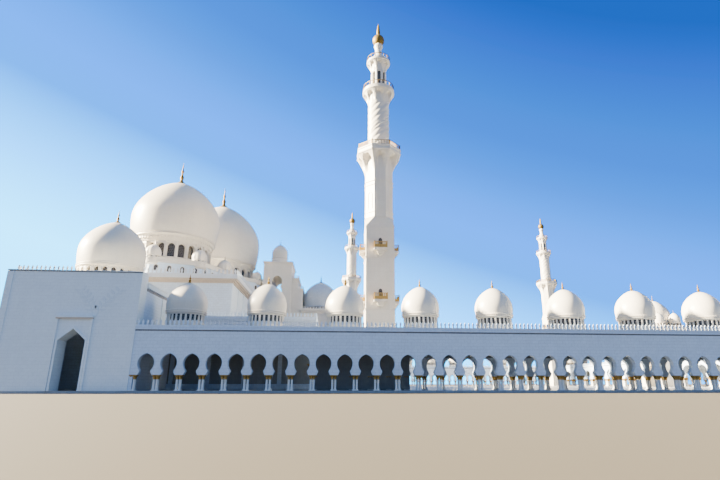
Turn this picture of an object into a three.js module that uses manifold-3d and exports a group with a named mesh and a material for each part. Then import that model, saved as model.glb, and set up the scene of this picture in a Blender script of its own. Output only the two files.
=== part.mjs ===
// A large domed mosque of white marble round an open court, as a 1:10 scale model.
// Sizes below are metres of the real building. X runs east, Y north and Z up, and the origin lies
// on the ground under the middle of the plan, so the north half mirrors the south half.

import * as THREE from "three";
import { mergeVertices } from "three/addons/utils/BufferGeometryUtils.js";
import Module from "manifold-3d";

const wasm = await Module();
wasm.setup();

// Millimetres of model for one metre of building
const MODEL = 100;
// Clearance, in metres of building, of pieces set into or inside curved neighbours
const FIT = 0.004;

// Plan: outer faces of the ranges, the court and the prayer hall
const EAST = 124.2;
const SOUTH = 115.4;
const SIDE_RANGE = 14.5;
const EAST_RANGE = 21.6;
const COURT_EAST = EAST - EAST_RANGE;
const COURT_SOUTH = SOUTH - SIDE_RANGE;
const HALL_SOUTH = 94.8;
const HALL_FRONT = -47.6;
const FLOOR = 0.45;
const WALL = 1.0;

// Arcades: one arch each 3.875 m, of which the court takes those from COURT_FIRST on, and a dome
// over every fourth arch
const PITCH = 3.875;
const FIRST_ARCH = -72.6;
const ARCHES = 52;
const COURT_FIRST = 7;
const COURT_ARCHES = 38;
const ROOF_TOP = 10.75;
const ROOF_THICK = 0.75;
const PARAPET_TOP = 11.7;
const DOMES = 13;
const DOME_SPACING = 4 * PITCH;
const EAST_DOMES = 12;

// Gate porch in the middle of the east range, which stands out into the court
const GATE = { west: 95.0, east: 108.2, half: 9.8, top: 25.0 };

// Pavilions at the west ends of the south and north ranges
const PAVILION_X = -90.7;
const PAVILION_WIDTH = 23.4;
const PAVILION_DOOR = { x: -89.5, half: 2.3, top: 11.0 };
const PAVILION_DOME_Y = 102.5;
const SCREEN_TOP = 21.5;
const SCREEN_THICK = 2.9;
const PAVILION_TOP = 20.0;
const PAVILION_ROOF = 18.5;

// Prayer hall: a low tier, a high block on it, and three great domes in a row at GREAT_X
const GREAT_X = -92.9;
const LOW_TOP = 16.2;
const LOW_ROOF = 15.0;
const BLOCK_WEST = -123.0;
const BLOCK_EAST = -70.6;
const BLOCK_Y = 77.1;
const BLOCK_TOP = 29.4;
const BLOCK_ROOF = 27.4;
const SIDE_DOME_Y = 58.6;

// Great domes: radii of drum, ring and belly, heights of ring, tip and finial, window width, and
// the octagon base under them with its corner radius, turn and top
const GREAT_SIDES = 24;
const SIDE_DOME = { drum: 10.9, base: 12.0, belly: 12.75, ring: 43.4, tip: 62.8, end: 70.3, window: 1.9,
  corner: 17.4, phase: 0, shelf: 33.3 };
const CENTRAL_DOME = { drum: 14.2, base: 15.6, belly: 16.5, ring: 50.2, tip: 76.7, end: 86.0, window: 2.3,
  corner: 20.8, phase: Math.PI / 8, shelf: 41.3 };

// Portal in the middle of the hall's court front: a tower that leans its back part on the
// high block, two lower steps before it, and a porch
const TOWER = { west: -72.4, east: -60.9, half: 9.0, top: 50.3 };
const STEPS = [{ east: -58.0, top: 43.8 }, { east: -56.1, top: 39.4 }];
const STEP_HALF = 7.5;
const PORCH = { west: -56.1, east: -41.7, half: 8.2, top: 31.0 };

// Minarets in the four corners of the court
const MINARET_Y = 84.2;
const MINARETS_X = { west: -32.2, east: 92.0 };

// Where the widest ring of an onion dome lies, as a part of its height
const BELLY = 0.33;

const marble = new THREE.MeshStandardMaterial({ color: 0xeeece6, roughness: 0.45, metalness: 0 });
const floorMarble = new THREE.MeshStandardMaterial({ color: 0xd9d6cf, roughness: 0.5, metalness: 0 });
const darkGlass = new THREE.MeshStandardMaterial({ color: 0x3b3431, roughness: 0.15, metalness: 0.1 });

const mosque = new THREE.Group();

// Volume inside a closed triangle mesh, negative where its faces point in
function signedVolume(points, corners) {
  const [a, b, c] = [new THREE.Vector3(), new THREE.Vector3(), new THREE.Vector3()];
  let sum = 0;
  for (let i = 0; i < corners.length; i += 3) {
    a.fromArray(points, 3 * corners[i]);
    b.fromArray(points, 3 * corners[i + 1]);
    c.fromArray(points, 3 * corners[i + 2]);
    sum += a.dot(b.cross(c)) / 6;
  }
  return sum;
}

// A geometry as a solid that can be joined and cut, with its faces pointing out
function solid(geometry) {
  const bare = geometry.clone();
  bare.deleteAttribute("normal");
  bare.deleteAttribute("uv");
  const merged = mergeVertices(bare, 1e-3);
  const points = merged.attributes.position.array;
  const kept = [];
  for (let i = 0; i < merged.index.count; i += 3) {
    const [a, b, c] = merged.index.array.slice(i, i + 3);
    if (a !== b && b !== c && c !== a) kept.push(a, b, c);
  }
  if (signedVolume(points, kept) < 0) kept.reverse();
  return new wasm.Manifold(new wasm.Mesh({
    numProp: 3,
    vertProperties: Float32Array.from(points),
    triVerts: Uint32Array.from(kept),
  }));
}

// Adds one finished solid to the mosque as a named mesh
function place(name, shape, material = marble) {
  const { vertProperties, triVerts } = shape.getMesh();
  const geometry = new THREE.BufferGeometry();
  geometry.setAttribute("position", new THREE.BufferAttribute(Float32Array.from(vertProperties), 3));
  geometry.setIndex(new THREE.BufferAttribute(Uint32Array.from(triVerts), 1));
  geometry.computeVertexNormals();
  const mesh = new THREE.Mesh(geometry, material);
  mesh.name = name;
  mosque.add(mesh);
}

function join(shapes) {
  return shapes.reduce((whole, shape) => whole.add(shape));
}

// A block between two corners, given as ranges of x, y and z
function block(xs, ys, zs) {
  const [x, y, z] = [xs, ys, zs].map((pair) => pair.map((value) => value * MODEL));
  const geometry = new THREE.BoxGeometry(
    Math.abs(x[1] - x[0]), Math.abs(y[1] - y[0]), Math.abs(z[1] - z[0]));
  geometry.translate((x[0] + x[1]) / 2, (y[0] + y[1]) / 2, (z[0] + z[1]) / 2);
  return solid(geometry);
}

// An upright plate with the given outline, thick from low to high across the way it faces.
// It faces north or south with outline points (x, z), or with sideways set east or west with (y, z).
function plate(outline, low, high, sideways = false) {
  const shape = new THREE.Shape(outline.map(([u, z]) => new THREE.Vector2(u * MODEL, z * MODEL)));
  const geometry = new THREE.ExtrudeGeometry(shape, { depth: (high - low) * MODEL, bevelEnabled: false });
  geometry.rotateX(Math.PI / 2);
  geometry.translate(0, (sideways ? -low : high) * MODEL, 0);
  if (sideways) geometry.rotateZ(Math.PI / 2);
  return solid(geometry);
}

// A round or many-sided body turned about an upright axis, from (radius, height) points
function turned(profile, sides, x, y, phase = Math.PI / sides) {
  const points = profile.map(([radius, z]) => new THREE.Vector2(radius * MODEL, z * MODEL));
  const geometry = new THREE.LatheGeometry(points, sides, phase);
  geometry.rotateX(Math.PI / 2);
  geometry.translate(x * MODEL, y * MODEL, 0);
  return solid(geometry);
}

// The curve of an onion dome from its base ring over its belly to its tip
function onion(baseRadius, bellyRadius, baseZ, tipZ, steps) {
  const rise = tipZ - baseZ;
  const bellyZ = baseZ + BELLY * rise;
  const low = new THREE.QuadraticBezierCurve(
    new THREE.Vector2(baseRadius, baseZ),
    new THREE.Vector2(bellyRadius, baseZ + 0.14 * rise),
    new THREE.Vector2(bellyRadius, bellyZ));
  const high = new THREE.CubicBezierCurve(
    new THREE.Vector2(bellyRadius, bellyZ),
    new THREE.Vector2(bellyRadius, baseZ + 0.64 * rise),
    new THREE.Vector2(0.42 * bellyRadius, baseZ + 0.96 * rise),
    new THREE.Vector2(0, tipZ));
  const points = [...low.getPoints(2).slice(0, -1), ...high.getPoints(steps)];
  return points.map((point) => [point.x, point.y]);
}

// Half of a keyhole arch, as (half width, height) points from the floor to the tip:
// straight jambs, a narrow neck over the capitals, a wide round head and a pointed tip
const FINE_ARCH = [[1.46, 0], [1.46, 1.9], [0.93, 3.3], [1.43, 4.6], [1.06, 5.75], [0, 6.4]];
const PLAIN_ARCH = [[1.4, 0], [0.95, 3.3], [1.43, 4.8], [0, 6.4]];

// The outline of one arch, up its left side and down its right
function arch(centre, foot, half, wide = 1, tall = 1) {
  const left = half.map(([width, z]) => [centre - width * wide, foot + z * tall]);
  const right = half.map(([width, z]) => [centre + width * wide, foot + z * tall]);
  return [...left, ...right.slice(0, -1).reverse()];
}

// The outline of a wall with a row of arches that are open down to the floor
function arcade(from, to, top, centres, half, wide = 1, tall = 1) {
  const arches = centres.flatMap((centre) => arch(centre, FLOOR, half, wide, tall));
  return [[from, top], [from, FLOOR], ...arches, [to, FLOOR], [to, top]];
}

// Centres of a number of equal bays that fill a length
function bays(from, to, count) {
  const step = (to - from) / count;
  return Array.from({ length: count }, (_, i) => from + (i + 0.5) * step);
}

// Floors: level slabs under the side ranges, and under the hall, the court and the east range
function floors() {
  const zs = [0, FLOOR];
  const west = PAVILION_X - PAVILION_WIDTH / 2;
  place("south_floor", block([west, EAST], [-SOUTH, -HALL_SOUTH], zs), floorMarble);
  place("north_floor", block([west, EAST], [HALL_SOUTH, SOUTH], zs), floorMarble);
  place("middle_floor", block([-EAST, EAST], [-HALL_SOUTH, HALL_SOUTH], zs), floorMarble);
}

// A small onion dome on its drum, standing through the roof slab that carries it
function arcadeDome(x, y) {
  const foot = ROOF_TOP - ROOF_THICK / 2;
  const drumRadius = 3.5;
  return turned([[0, foot], [drumRadius, foot], [drumRadius, 14.4], [3.86, 14.7], [3.9, 16.5],
    [2.8, 19.2], [0.5, 20.9], [0, 22.6]], 8, x, y);
}

// South and north ranges: an outer arcade in equal segments, a court arcade and a domed roof
function sideRange(name, side, half, segments) {
  const west = PAVILION_X + PAVILION_WIDTH / 2;
  const outer = [side * SOUTH, side * (SOUTH - WALL)].sort((a, b) => a - b);
  const inner = [side * COURT_SOUTH, side * (COURT_SOUTH - WALL)].sort((a, b) => a - b);
  const count = ARCHES / segments;
  for (let segment = 0; segment < segments; segment += 1) {
    const first = FIRST_ARCH + (segment * count - 1) * PITCH;
    const centres = Array.from({ length: count }, (_, i) => first + i * PITCH);
    const from = segment === 0 ? west : first - PITCH / 2;
    const to = segment === segments - 1 ? EAST : first + (count - 0.5) * PITCH;
    const outline = arcade(from, to, PARAPET_TOP, centres, half);
    place(`${name}_front_arcade_${segment + 1}`, plate(outline, ...outer));
  }
  const courtCentres = Array.from({ length: COURT_ARCHES }, (_, i) => FIRST_ARCH + (COURT_FIRST + i) * PITCH);
  const courtOutline = arcade(HALL_FRONT, COURT_EAST, PARAPET_TOP, courtCentres, PLAIN_ARCH);
  place(`${name}_court_arcade`, plate(courtOutline, ...inner));

  const zs = [ROOF_TOP - ROOF_THICK, ROOF_TOP];
  const slab = block([west, EAST - WALL], [side * (SOUTH - WALL), side * COURT_SOUTH], zs)
    .add(block([west, HALL_FRONT], [side * (SOUTH - WALL), side * HALL_SOUTH], zs));
  const domeY = side * (SOUTH - SIDE_RANGE / 2);
  const domes = Array.from({ length: DOMES }, (_, i) => arcadeDome(FIRST_ARCH + i * DOME_SPACING, domeY));
  place(`${name}_roof`, join([slab, ...domes]));
}

// East range between the two side ranges
function eastRange() {
  const reach = SOUTH - WALL;
  for (let segment = 0; segment < 4; segment += 1) {
    const from = -reach + segment * reach / 2;
    const to = from + reach / 2;
    const outline = arcade(from, to, PARAPET_TOP, bays(from, to, 14), PLAIN_ARCH);
    place(`east_front_arcade_${segment + 1}`, plate(outline, EAST - WALL, EAST, true));
  }
  const sides = [["south", -COURT_SOUTH, -GATE.half], ["north", GATE.half, COURT_SOUTH]];
  for (const [end, from, to] of sides) {
    const outline = arcade(from, to, PARAPET_TOP, bays(from, to, 12), PLAIN_ARCH, 2, 1.35);
    place(`east_court_arcade_${end}`, plate(outline, COURT_EAST, COURT_EAST + WALL, true));
  }

  const slab = block([COURT_EAST + WALL, EAST - WALL], [-COURT_SOUTH, COURT_SOUTH],
    [ROOF_TOP - ROOF_THICK, ROOF_TOP]);
  const domeX = FIRST_ARCH + (DOMES - 1) * DOME_SPACING;
  const domes = bays(-COURT_SOUTH, COURT_SOUTH, EAST_DOMES).map((y) => arcadeDome(domeX, y));
  place("east_roof", join([slab, ...domes]));
}

// A solid small dome on a round foot, with its finial drawn as a short spike
function cap(radius, footZ, ringZ, tipZ, sides, x, y) {
  const steps = sides > 8 ? 4 : 2;
  const crown = onion(0.96 * radius, radius, ringZ, tipZ, steps).slice(0, -1);
  return turned([[0, footZ], [0.96 * radius, footZ], ...crown, [0.05 * radius, tipZ],
    [0, tipZ + 0.4 * radius]], sides, x, y);
}

// Gate of the east range: a porch with a passage, one dome and a small dome at each corner
function eastGate() {
  const across = [-GATE.half, GATE.half];
  const middle = (GATE.west + GATE.east) / 2;
  const porch = block([GATE.west, COURT_EAST + WALL], across, [FLOOR, GATE.top]);
  const passage = plate(arch(0, FLOOR, FINE_ARCH, 2.6, 2.6), GATE.west - 1, COURT_EAST + WALL + 1, true);
  const over = block([COURT_EAST + WALL, GATE.east], across, [ROOF_TOP, GATE.top]);
  const corners = [[-1, -1], [-1, 1], [1, -1], [1, 1]].map(([east, north]) =>
    cap(2.4, GATE.top - 0.5, GATE.top + 2.2, GATE.top + 6.4, 6, middle + 3.7 * east, 7.2 * north));
  const crown = cap(6.05, GATE.top - 0.5, GATE.top + 2.6, 37.8, 16, middle, 0);
  place("east_gate", join([porch.subtract(passage), over, crown, ...corners]));
}

// A ring wall with one window in each of its sides
function drum(tiers, thickness, sides, x, y, { low, high, width }) {
  const innerRadius = Math.min(...tiers.map(([radius]) => radius)) - thickness;
  const base = tiers[0][1];
  const top = tiers[tiers.length - 1][1];
  const profile = [...tiers, [innerRadius, top], [innerRadius, base], tiers[0]];
  let wall = turned(profile, sides, x, y);
  const reach = tiers[0][0];
  for (let i = 0; i < sides; i += 1) {
    const geometry = new THREE.BoxGeometry(reach * MODEL, width * MODEL, (high - low) * MODEL);
    geometry.translate(reach * MODEL, 0, (low + high) * MODEL / 2);
    geometry.rotateZ((2 * Math.PI * i) / sides);
    geometry.translate(x * MODEL, y * MODEL, 0);
    wall = wall.subtract(solid(geometry));
  }
  return wall;
}

// An onion dome as a shell, open below, with its finial of stacked balls drawn as one spike
function shellDome(baseRadius, bellyRadius, baseZ, tipZ, finialZ, thickness, sides, x, y) {
  const outside = onion(baseRadius, bellyRadius, baseZ, tipZ, 6);
  const inside = onion(baseRadius - thickness, bellyRadius - thickness, baseZ, tipZ - 2 * thickness, 4);
  const neck = 0.045 * bellyRadius;
  const spike = [[neck, tipZ - 0.02 * (tipZ - baseZ)], [neck, tipZ + 0.6 * (finialZ - tipZ)], [0, finialZ]];
  const profile = [...outside.slice(0, -1), ...spike, ...inside.reverse(), outside[0]];
  return turned(profile, sides, x, y);
}

// Pavilions: a tall entrance screen, side walls, a roof, a windowed drum and its dome
function pavilion(name, side) {
  const [west, east] = [PAVILION_X - PAVILION_WIDTH / 2, PAVILION_X + PAVILION_WIDTH / 2];
  const { x: door, half: doorHalf, top: doorTop } = PAVILION_DOOR;
  const centreY = side * PAVILION_DOME_Y;
  const faces = [side * SOUTH, side * (SOUTH - SCREEN_THICK)].sort((a, b) => a - b);
  const screen = plate([[west, SCREEN_TOP], [west, FLOOR], [door - doorHalf, FLOOR],
    [door - doorHalf, doorTop - 2], [door, doorTop], [door + doorHalf, doorTop - 2],
    [door + doorHalf, FLOOR], [east, FLOOR], [east, SCREEN_TOP]], ...faces);
  place(`${name}_screen`, screen);

  const depth = [side * (SOUTH - SCREEN_THICK), side * HALL_SOUTH];
  place(`${name}_west_wall`, block([west, west + WALL], depth, [FLOOR, PAVILION_TOP]));
  place(`${name}_east_wall`, block([east - WALL, east], depth, [FLOOR, PAVILION_TOP]));

  const sides = 12;
  const radius = 6.0;
  const thickness = 0.7;
  const ring = 24.8;
  const well = radius - thickness;
  const hole = turned([[0, 10], [well, 10], [well, 30], [0, 30]], sides, PAVILION_X, centreY);
  const slab = block([west + WALL, east - WALL], depth, [PAVILION_ROOF - 1, PAVILION_ROOF]).subtract(hole);
  const ringWall = drum([[radius, PAVILION_ROOF], [radius, ring]], thickness, sides, PAVILION_X, centreY,
    { low: 22.6, high: 24.1, width: 0.85 });
  place(`${name}_roof_and_drum`, slab.add(ringWall));
  place(`${name}_dome`, shellDome(6.2, 6.45, ring, 35.0, 38.0, 0.5, sides, PAVILION_X, centreY));
}

// Low tier of the prayer hall: plain side walls, a windowed back wall and an arcaded court front
function hallLowTier() {
  const [west, front] = [-EAST, HALL_FRONT];
  const edge = HALL_SOUTH;
  place("hall_south_wall", block([west, front], [-edge, -edge + WALL], [FLOOR, LOW_TOP]));
  place("hall_north_wall", block([west, front], [edge - WALL, edge], [FLOOR, LOW_TOP]));
  let back = block([west, west + WALL], [-edge + WALL, edge - WALL], [FLOOR, LOW_TOP]);
  for (const y of bays(-edge + WALL, edge - WALL, 12)) {
    const window = [[y - 1.5, 4], [y - 1.5, 11], [y, 12.8], [y + 1.5, 11], [y + 1.5, 4]];
    back = back.subtract(plate(window, west - 1, west + WALL + 1, true));
  }
  place("hall_west_wall", back);
  for (const [end, from, to] of [["south", -edge + WALL, -PORCH.half], ["north", PORCH.half, edge - WALL]]) {
    const outline = arcade(from, to, LOW_TOP, bays(from, to, 11), PLAIN_ARCH, 2, 2);
    place(`hall_front_arcade_${end}`, plate(outline, front - WALL, front, true));
  }
  const slab = block([west + WALL, front - WALL], [-edge + WALL, edge - WALL], [LOW_ROOF - 1, LOW_ROOF]);
  const well = block([BLOCK_WEST + WALL, BLOCK_EAST - WALL], [-BLOCK_Y + WALL, BLOCK_Y - WALL], [0, BLOCK_TOP]);
  const notch = block([PORCH.west, front], [-PORCH.half, PORCH.half], [0, BLOCK_TOP]);
  place("hall_low_roof", slab.subtract(well).subtract(notch));
}

// The stepped base round a great drum: an octagon of walls and its flat top, with a kiosk at each corner
function domeBase(name, y, { drum: inner, corner, phase, shelf }) {
  const outside = turned([[0, BLOCK_ROOF], [corner, BLOCK_ROOF], [corner, shelf], [0, shelf]], 8, GREAT_X, y, phase);
  const hollow = corner - 1.2;
  const inside = turned([[0, 20], [hollow, 20], [hollow, shelf - 0.8], [0, shelf - 0.8]], 8, GREAT_X, y, phase);
  const shaft = turned([[0, 20], [inner + FIT, 20], [inner + FIT, 60], [0, 60]], GREAT_SIDES, GREAT_X, y);
  const reach = corner - 1.7;
  const kiosks = Array.from({ length: 8 }, (_, i) => {
    const angle = phase + (i * Math.PI) / 4;
    return cap(2.05, shelf - 0.4, shelf + 1.6, shelf + 4.9, 6,
      GREAT_X + reach * Math.cos(angle), y + reach * Math.sin(angle));
  });
  place(`${name}_dome_base`, join([outside.subtract(inside).subtract(shaft), ...kiosks]));
}

// High block of the prayer hall, with its three domes over the wells in its roof
function hallHighBlock() {
  const [west, east] = [BLOCK_WEST, BLOCK_EAST];
  const span = [-BLOCK_Y + WALL, BLOCK_Y - WALL];
  const core = block([west + WALL, east - WALL], span, [0, BLOCK_TOP + 1]);
  place("block_walls", block([west, east], [-BLOCK_Y, BLOCK_Y], [LOW_ROOF, BLOCK_TOP]).subtract(core));

  let slab = block([west + WALL, east - WALL], span, [BLOCK_ROOF - 1, BLOCK_ROOF]);
  for (const [name, y, dome] of [["south", -SIDE_DOME_Y, SIDE_DOME], ["central", 0, CENTRAL_DOME],
    ["north", SIDE_DOME_Y, SIDE_DOME]]) {
    const windows = { low: dome.ring - 7.2, high: dome.ring - 3.0, width: dome.window };
    const tiers = [[dome.drum, BLOCK_ROOF], [dome.drum, dome.ring - 2.4], [dome.base, dome.ring]];
    place(`${name}_drum`, drum(tiers, WALL, GREAT_SIDES, GREAT_X, y, windows));
    place(`${name}_dome`,
      shellDome(dome.base, dome.belly, dome.ring, dome.tip, dome.end, 0.8, GREAT_SIDES, GREAT_X, y));
    const well = dome.drum - WALL;
    const [outer, inner] = [well - FIT, well - FIT - 0.2];
    const foot = dome.ring - 8.4;
    const glass = [[outer, foot], [outer, dome.ring], [inner, dome.ring], [inner, foot], [outer, foot]];
    place(`${name}_drum_glass`, turned(glass, GREAT_SIDES, GREAT_X, y), darkGlass);
    slab = slab.subtract(turned([[0, 20], [well, 20], [well, 30], [0, 30]], GREAT_SIDES, GREAT_X, y));
    domeBase(name, y, dome);
  }
  place("block_roof", slab);
}

// The portal on the court axis: a tower with a keyhole opening through its sides and a small dome,
// two lower steps before it, and a domed porch that stands out into the court
function portal() {
  const front = BLOCK_EAST;
  const middle = (TOWER.west + TOWER.east) / 2;
  const body = block([front, TOWER.east], [-TOWER.half, TOWER.half], [LOW_ROOF, TOWER.top]);
  const back = block([TOWER.west, front], [-TOWER.half, TOWER.half], [BLOCK_TOP, TOWER.top]);
  let from = TOWER.east;
  const steps = STEPS.map(({ east, top }) => {
    const step = block([from, east], [-STEP_HALF, STEP_HALF], [LOW_ROOF, top]);
    from = east;
    return step;
  });
  const opening = plate(arch(middle, 35.1, FINE_ARCH, 1.45, 1.45), -TOWER.half - 1, TOWER.half + 1);
  const crown = cap(3.35, TOWER.top - 0.5, 54.0, 60.0, 12, middle - 0.4, 0);
  place("portal_tower", join([body, back, ...steps]).subtract(opening).add(crown));

  const porch = block([PORCH.west, PORCH.east], [-PORCH.half, PORCH.half], [FLOOR, PORCH.top]);
  const passage = plate(arch(0, FLOOR, FINE_ARCH, 3, 3.2), PORCH.west - 1, PORCH.east + 1, true);
  const dome = cap(7.15, PORCH.top - 0.5, PORCH.top + 1.2, 43.6, 16, (PORCH.west + PORCH.east) / 2, 0);
  place("portal_porch", porch.subtract(passage).add(dome));
}

// A minaret: square shaft with two rings of balconies, a broach up to an octagon, a gallery on a
// corbel, a round column with its gallery, and a lantern with a third gallery, a ball and a spike
function minaret(name, x, y) {
  const half = 3.65;
  const [shoulder, broach] = [41.0, 43.5];
  const shaft = block([x - half, x + half], [y - half, y + half], [FLOOR, shoulder]);
  const balconies = [21.5, 34.8].flatMap((deck) => {
    const reach = half + 1.4;
    return [block([x - 1.8, x + 1.8], [y - reach, y + reach], [deck - 0.5, deck]),
      block([x - reach, x + reach], [y - 1.8, y + 1.8], [deck - 0.5, deck])];
  });
  const side = 1 / Math.cos(Math.PI / 8);
  const corner = half * Math.SQRT2 * side;
  const taper = turned([[0, shoulder], [corner, shoulder], [half * side, broach], [0, broach]], 8, x, y)
    .intersect(block([x - half, x + half], [y - half, y + half], [shoulder, broach]));
  const octagon = [[0, broach], [half * side, broach], [half * side, 56.5]];
  const gallery = [[4.3 * side, 59.0], [5.75 * side, 62.0], [5.75 * side, 64.4]];
  const column = [[3.0, 64.4], [3.0, 79.2], [4.45, 81.4], [4.6, 84.5]];
  const lantern = [[2.35, 84.5], [2.35, 91.0], [3.4, 92.9], [3.5, 95.0], [0.95, 95.8], [0.9, 98.9]];
  const ball = [[1.75, 100.1], [1.75, 101.6], [0.5, 102.8], [0, 107.0]];
  const top = turned([...octagon, ...gallery, ...column, ...lantern, ...ball], 8, x, y);
  place(`minaret_${name}`, join([shaft, ...balconies, taper, top]));
}

floors();
sideRange("south", -1, FINE_ARCH, 4);
sideRange("north", 1, PLAIN_ARCH, 4);
eastRange();
eastGate();
pavilion("south_pavilion", -1);
pavilion("north_pavilion", 1);
hallLowTier();
hallHighBlock();
portal();
for (const [side, x] of Object.entries(MINARETS_X)) {
  minaret(`south_${side}`, x, -MINARET_Y);
  minaret(`north_${side}`, x, MINARET_Y);
}

export default mosque;
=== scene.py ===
import math

import bmesh
import bpy
from mathutils import Matrix, Vector


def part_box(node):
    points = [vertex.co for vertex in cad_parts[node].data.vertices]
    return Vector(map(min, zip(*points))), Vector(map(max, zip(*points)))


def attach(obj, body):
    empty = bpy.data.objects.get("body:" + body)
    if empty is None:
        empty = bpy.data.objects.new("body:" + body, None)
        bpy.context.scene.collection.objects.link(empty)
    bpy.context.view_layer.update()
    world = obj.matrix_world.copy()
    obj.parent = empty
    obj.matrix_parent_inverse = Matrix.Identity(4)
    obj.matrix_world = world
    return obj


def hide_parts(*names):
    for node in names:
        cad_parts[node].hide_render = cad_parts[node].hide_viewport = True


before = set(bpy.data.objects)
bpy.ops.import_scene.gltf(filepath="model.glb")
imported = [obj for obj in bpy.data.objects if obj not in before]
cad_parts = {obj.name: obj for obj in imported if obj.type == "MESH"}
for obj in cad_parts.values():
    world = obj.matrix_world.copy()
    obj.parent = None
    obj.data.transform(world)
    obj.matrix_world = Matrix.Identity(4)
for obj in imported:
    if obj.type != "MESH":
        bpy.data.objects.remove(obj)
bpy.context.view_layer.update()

# Viewpoint, floor and light.
# The eye stands in front of the long south range, low down, and looks up and slightly right.
# A low sun from the west warms the domes, and blue light from all round fills the shaded south side.
EYE = (-4.44, -20.56, 0.167)
TILT_UP = 16.35
TURN_RIGHT = 5.25
SUN_FROM = (-0.915, 0.09, 0.372)
PALER_SKY = (-0.33, 0.125, -0.936)
camera_data = bpy.data.cameras.new("camera")
camera_data.lens = 24.05
camera_data.sensor_width = 36.0
camera_data.shift_x = -0.0208
camera_data.shift_y = 0.0035
camera_data.clip_end = 400.0
camera = bpy.data.objects.new("camera", camera_data)
camera.location = EYE
camera.rotation_euler = (math.radians(90 + TILT_UP), 0.0, math.radians(-TURN_RIGHT))
bpy.context.collection.objects.link(camera)
bpy.context.scene.camera = camera


def feed(tree, socket, value):
    """Links another node's output to a socket, or gives the socket a fixed value"""
    if isinstance(value, bpy.types.NodeSocket):
        tree.links.new(value, socket)
    else:
        socket.default_value = value


def add_node(tree, kind, sockets=(), **settings):
    """A shader node with its settings, and what goes into its sockets"""
    made = tree.nodes.new("ShaderNode" + kind)
    for label, value in settings.items():
        setattr(made, label, value)
    for label, value in dict(sockets).items():
        feed(tree, made.inputs[label], value)
    return made


def blend_colour(tree, mask, first, second):
    """The first colour where the mask is 0, the second where it is 1"""
    mix = add_node(tree, "Mix", {"Factor": mask}, data_type="RGBA")
    for label, value in (("A", first), ("B", second)):
        socket = [s for s in mix.inputs if s.name == label and s.type == "RGBA"][0]
        feed(tree, socket, value if isinstance(value, bpy.types.NodeSocket) else (*value, 1.0))
    return [s for s in mix.outputs if s.type == "RGBA"][0]


def new_paint(name):
    """A new material, its node tree and its shader"""
    paint = bpy.data.materials.new(name)
    paint.use_nodes = True
    return paint, paint.node_tree, paint.node_tree.nodes["Principled BSDF"]


bm = bmesh.new()
bmesh.ops.create_grid(bm, x_segments=1, y_segments=1, size=150.0)
floor_mesh = bpy.data.meshes.new("studio_floor")
bm.to_mesh(floor_mesh)
bm.free()
studio_floor = bpy.data.objects.new("studio_floor", floor_mesh)
bpy.context.collection.objects.link(studio_floor)
floor_paint, floor_tree, floor_shader = new_paint("studio_floor")
direct = add_node(floor_tree, "LightPath").outputs["Is Camera Ray"]
feed(floor_tree, floor_shader.inputs["Base Color"],
     blend_colour(floor_tree, direct, (0.02, 0.02, 0.022), (0.082, 0.065, 0.038)))
floor_shader.inputs["Roughness"].default_value = 0.8
floor_mesh.materials.append(floor_paint)

sun_data = bpy.data.lights.new("sun", "SUN")
sun_data.energy = 72.0
sun_data.angle = math.radians(5)
sun_data.color = (1.0, 0.88, 0.65)
sun = bpy.data.objects.new("sun", sun_data)
sun.rotation_euler = Vector(SUN_FROM).to_track_quat("Z", "Y").to_euler()
bpy.context.collection.objects.link(sun)

world = bpy.data.worlds.new("studio")
world.use_nodes = True
sky = world.node_tree
fill = sky.nodes["Background"]
fill.inputs["Color"].default_value = (0.26, 0.48, 0.95, 1.0)
fill.inputs["Strength"].default_value = 1.12
way = add_node(sky, "TexCoord").outputs["Generated"]
down = add_node(sky, "VectorMath", {0: way, 1: PALER_SKY}, operation="DOT_PRODUCT").outputs["Value"]
span = add_node(sky, "MapRange", {"Value": down, "From Min": -0.64, "From Max": 0.044}).outputs["Result"]
fade = add_node(sky, "ValToRGB", {0: span})
blues = [(0.0, (0.0, 0.0156, 0.10)), (0.076, (0.001, 0.0206, 0.135)), (0.216, (0.0, 0.0354, 0.182)),
         (0.292, (0.0, 0.0388, 0.2)), (0.389, (0.0, 0.0525, 0.25)), (0.465, (0.0, 0.069, 0.325)),
         (0.55, (0.0, 0.082, 0.39)), (0.643, (0.0, 0.089, 0.37)), (0.82, (0.0, 0.254, 0.735)),
         (1.0, (0.0, 0.495, 1.0))]
while len(fade.color_ramp.elements) < len(blues):
    fade.color_ramp.elements.new(0.5)
for stop, (height, blue) in zip(fade.color_ramp.elements, blues):
    stop.position = height
for stop, (height, blue) in zip(fade.color_ramp.elements, blues):
    stop.color = (*blue, 1.0)
backdrop = add_node(sky, "Background", {"Color": fade.outputs["Color"], "Strength": 8.0})
seen = add_node(sky, "LightPath").outputs["Is Camera Ray"]
either = add_node(sky, "MixShader", {0: seen, 1: fill.outputs[0], 2: backdrop.outputs[0]})
feed(sky, sky.nodes["World Output"].inputs["Surface"], either.outputs[0])
bpy.context.scene.world = world

# White marble, the stone of every wall, pier and dome.
# The walls are faced with honed slabs in even courses, with fine joints and faint grey veins;
# the domes are ground smooth. Rain leaves thin upright grey streaks all over the stone.
M = 0.1  # the model is a tenth of the real building, whose metres the sizes below are given in


def group(name, inputs, outputs):
    """A node group, its inputs with their values and its outputs, all of them numbers"""
    tree = bpy.data.node_groups.new(name, "ShaderNodeTree")
    for label, value in inputs.items():
        tree.interface.new_socket(label, in_out="INPUT", socket_type="NodeSocketFloat").default_value = value
    for label in outputs:
        tree.interface.new_socket(label, in_out="OUTPUT", socket_type="NodeSocketFloat")
    return tree, tree.nodes.new("NodeGroupInput").outputs, tree.nodes.new("NodeGroupOutput").inputs


def math_node(tree, operation, *values):
    return add_node(tree, "Math", dict(enumerate(values)), operation=operation).outputs[0]


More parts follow.
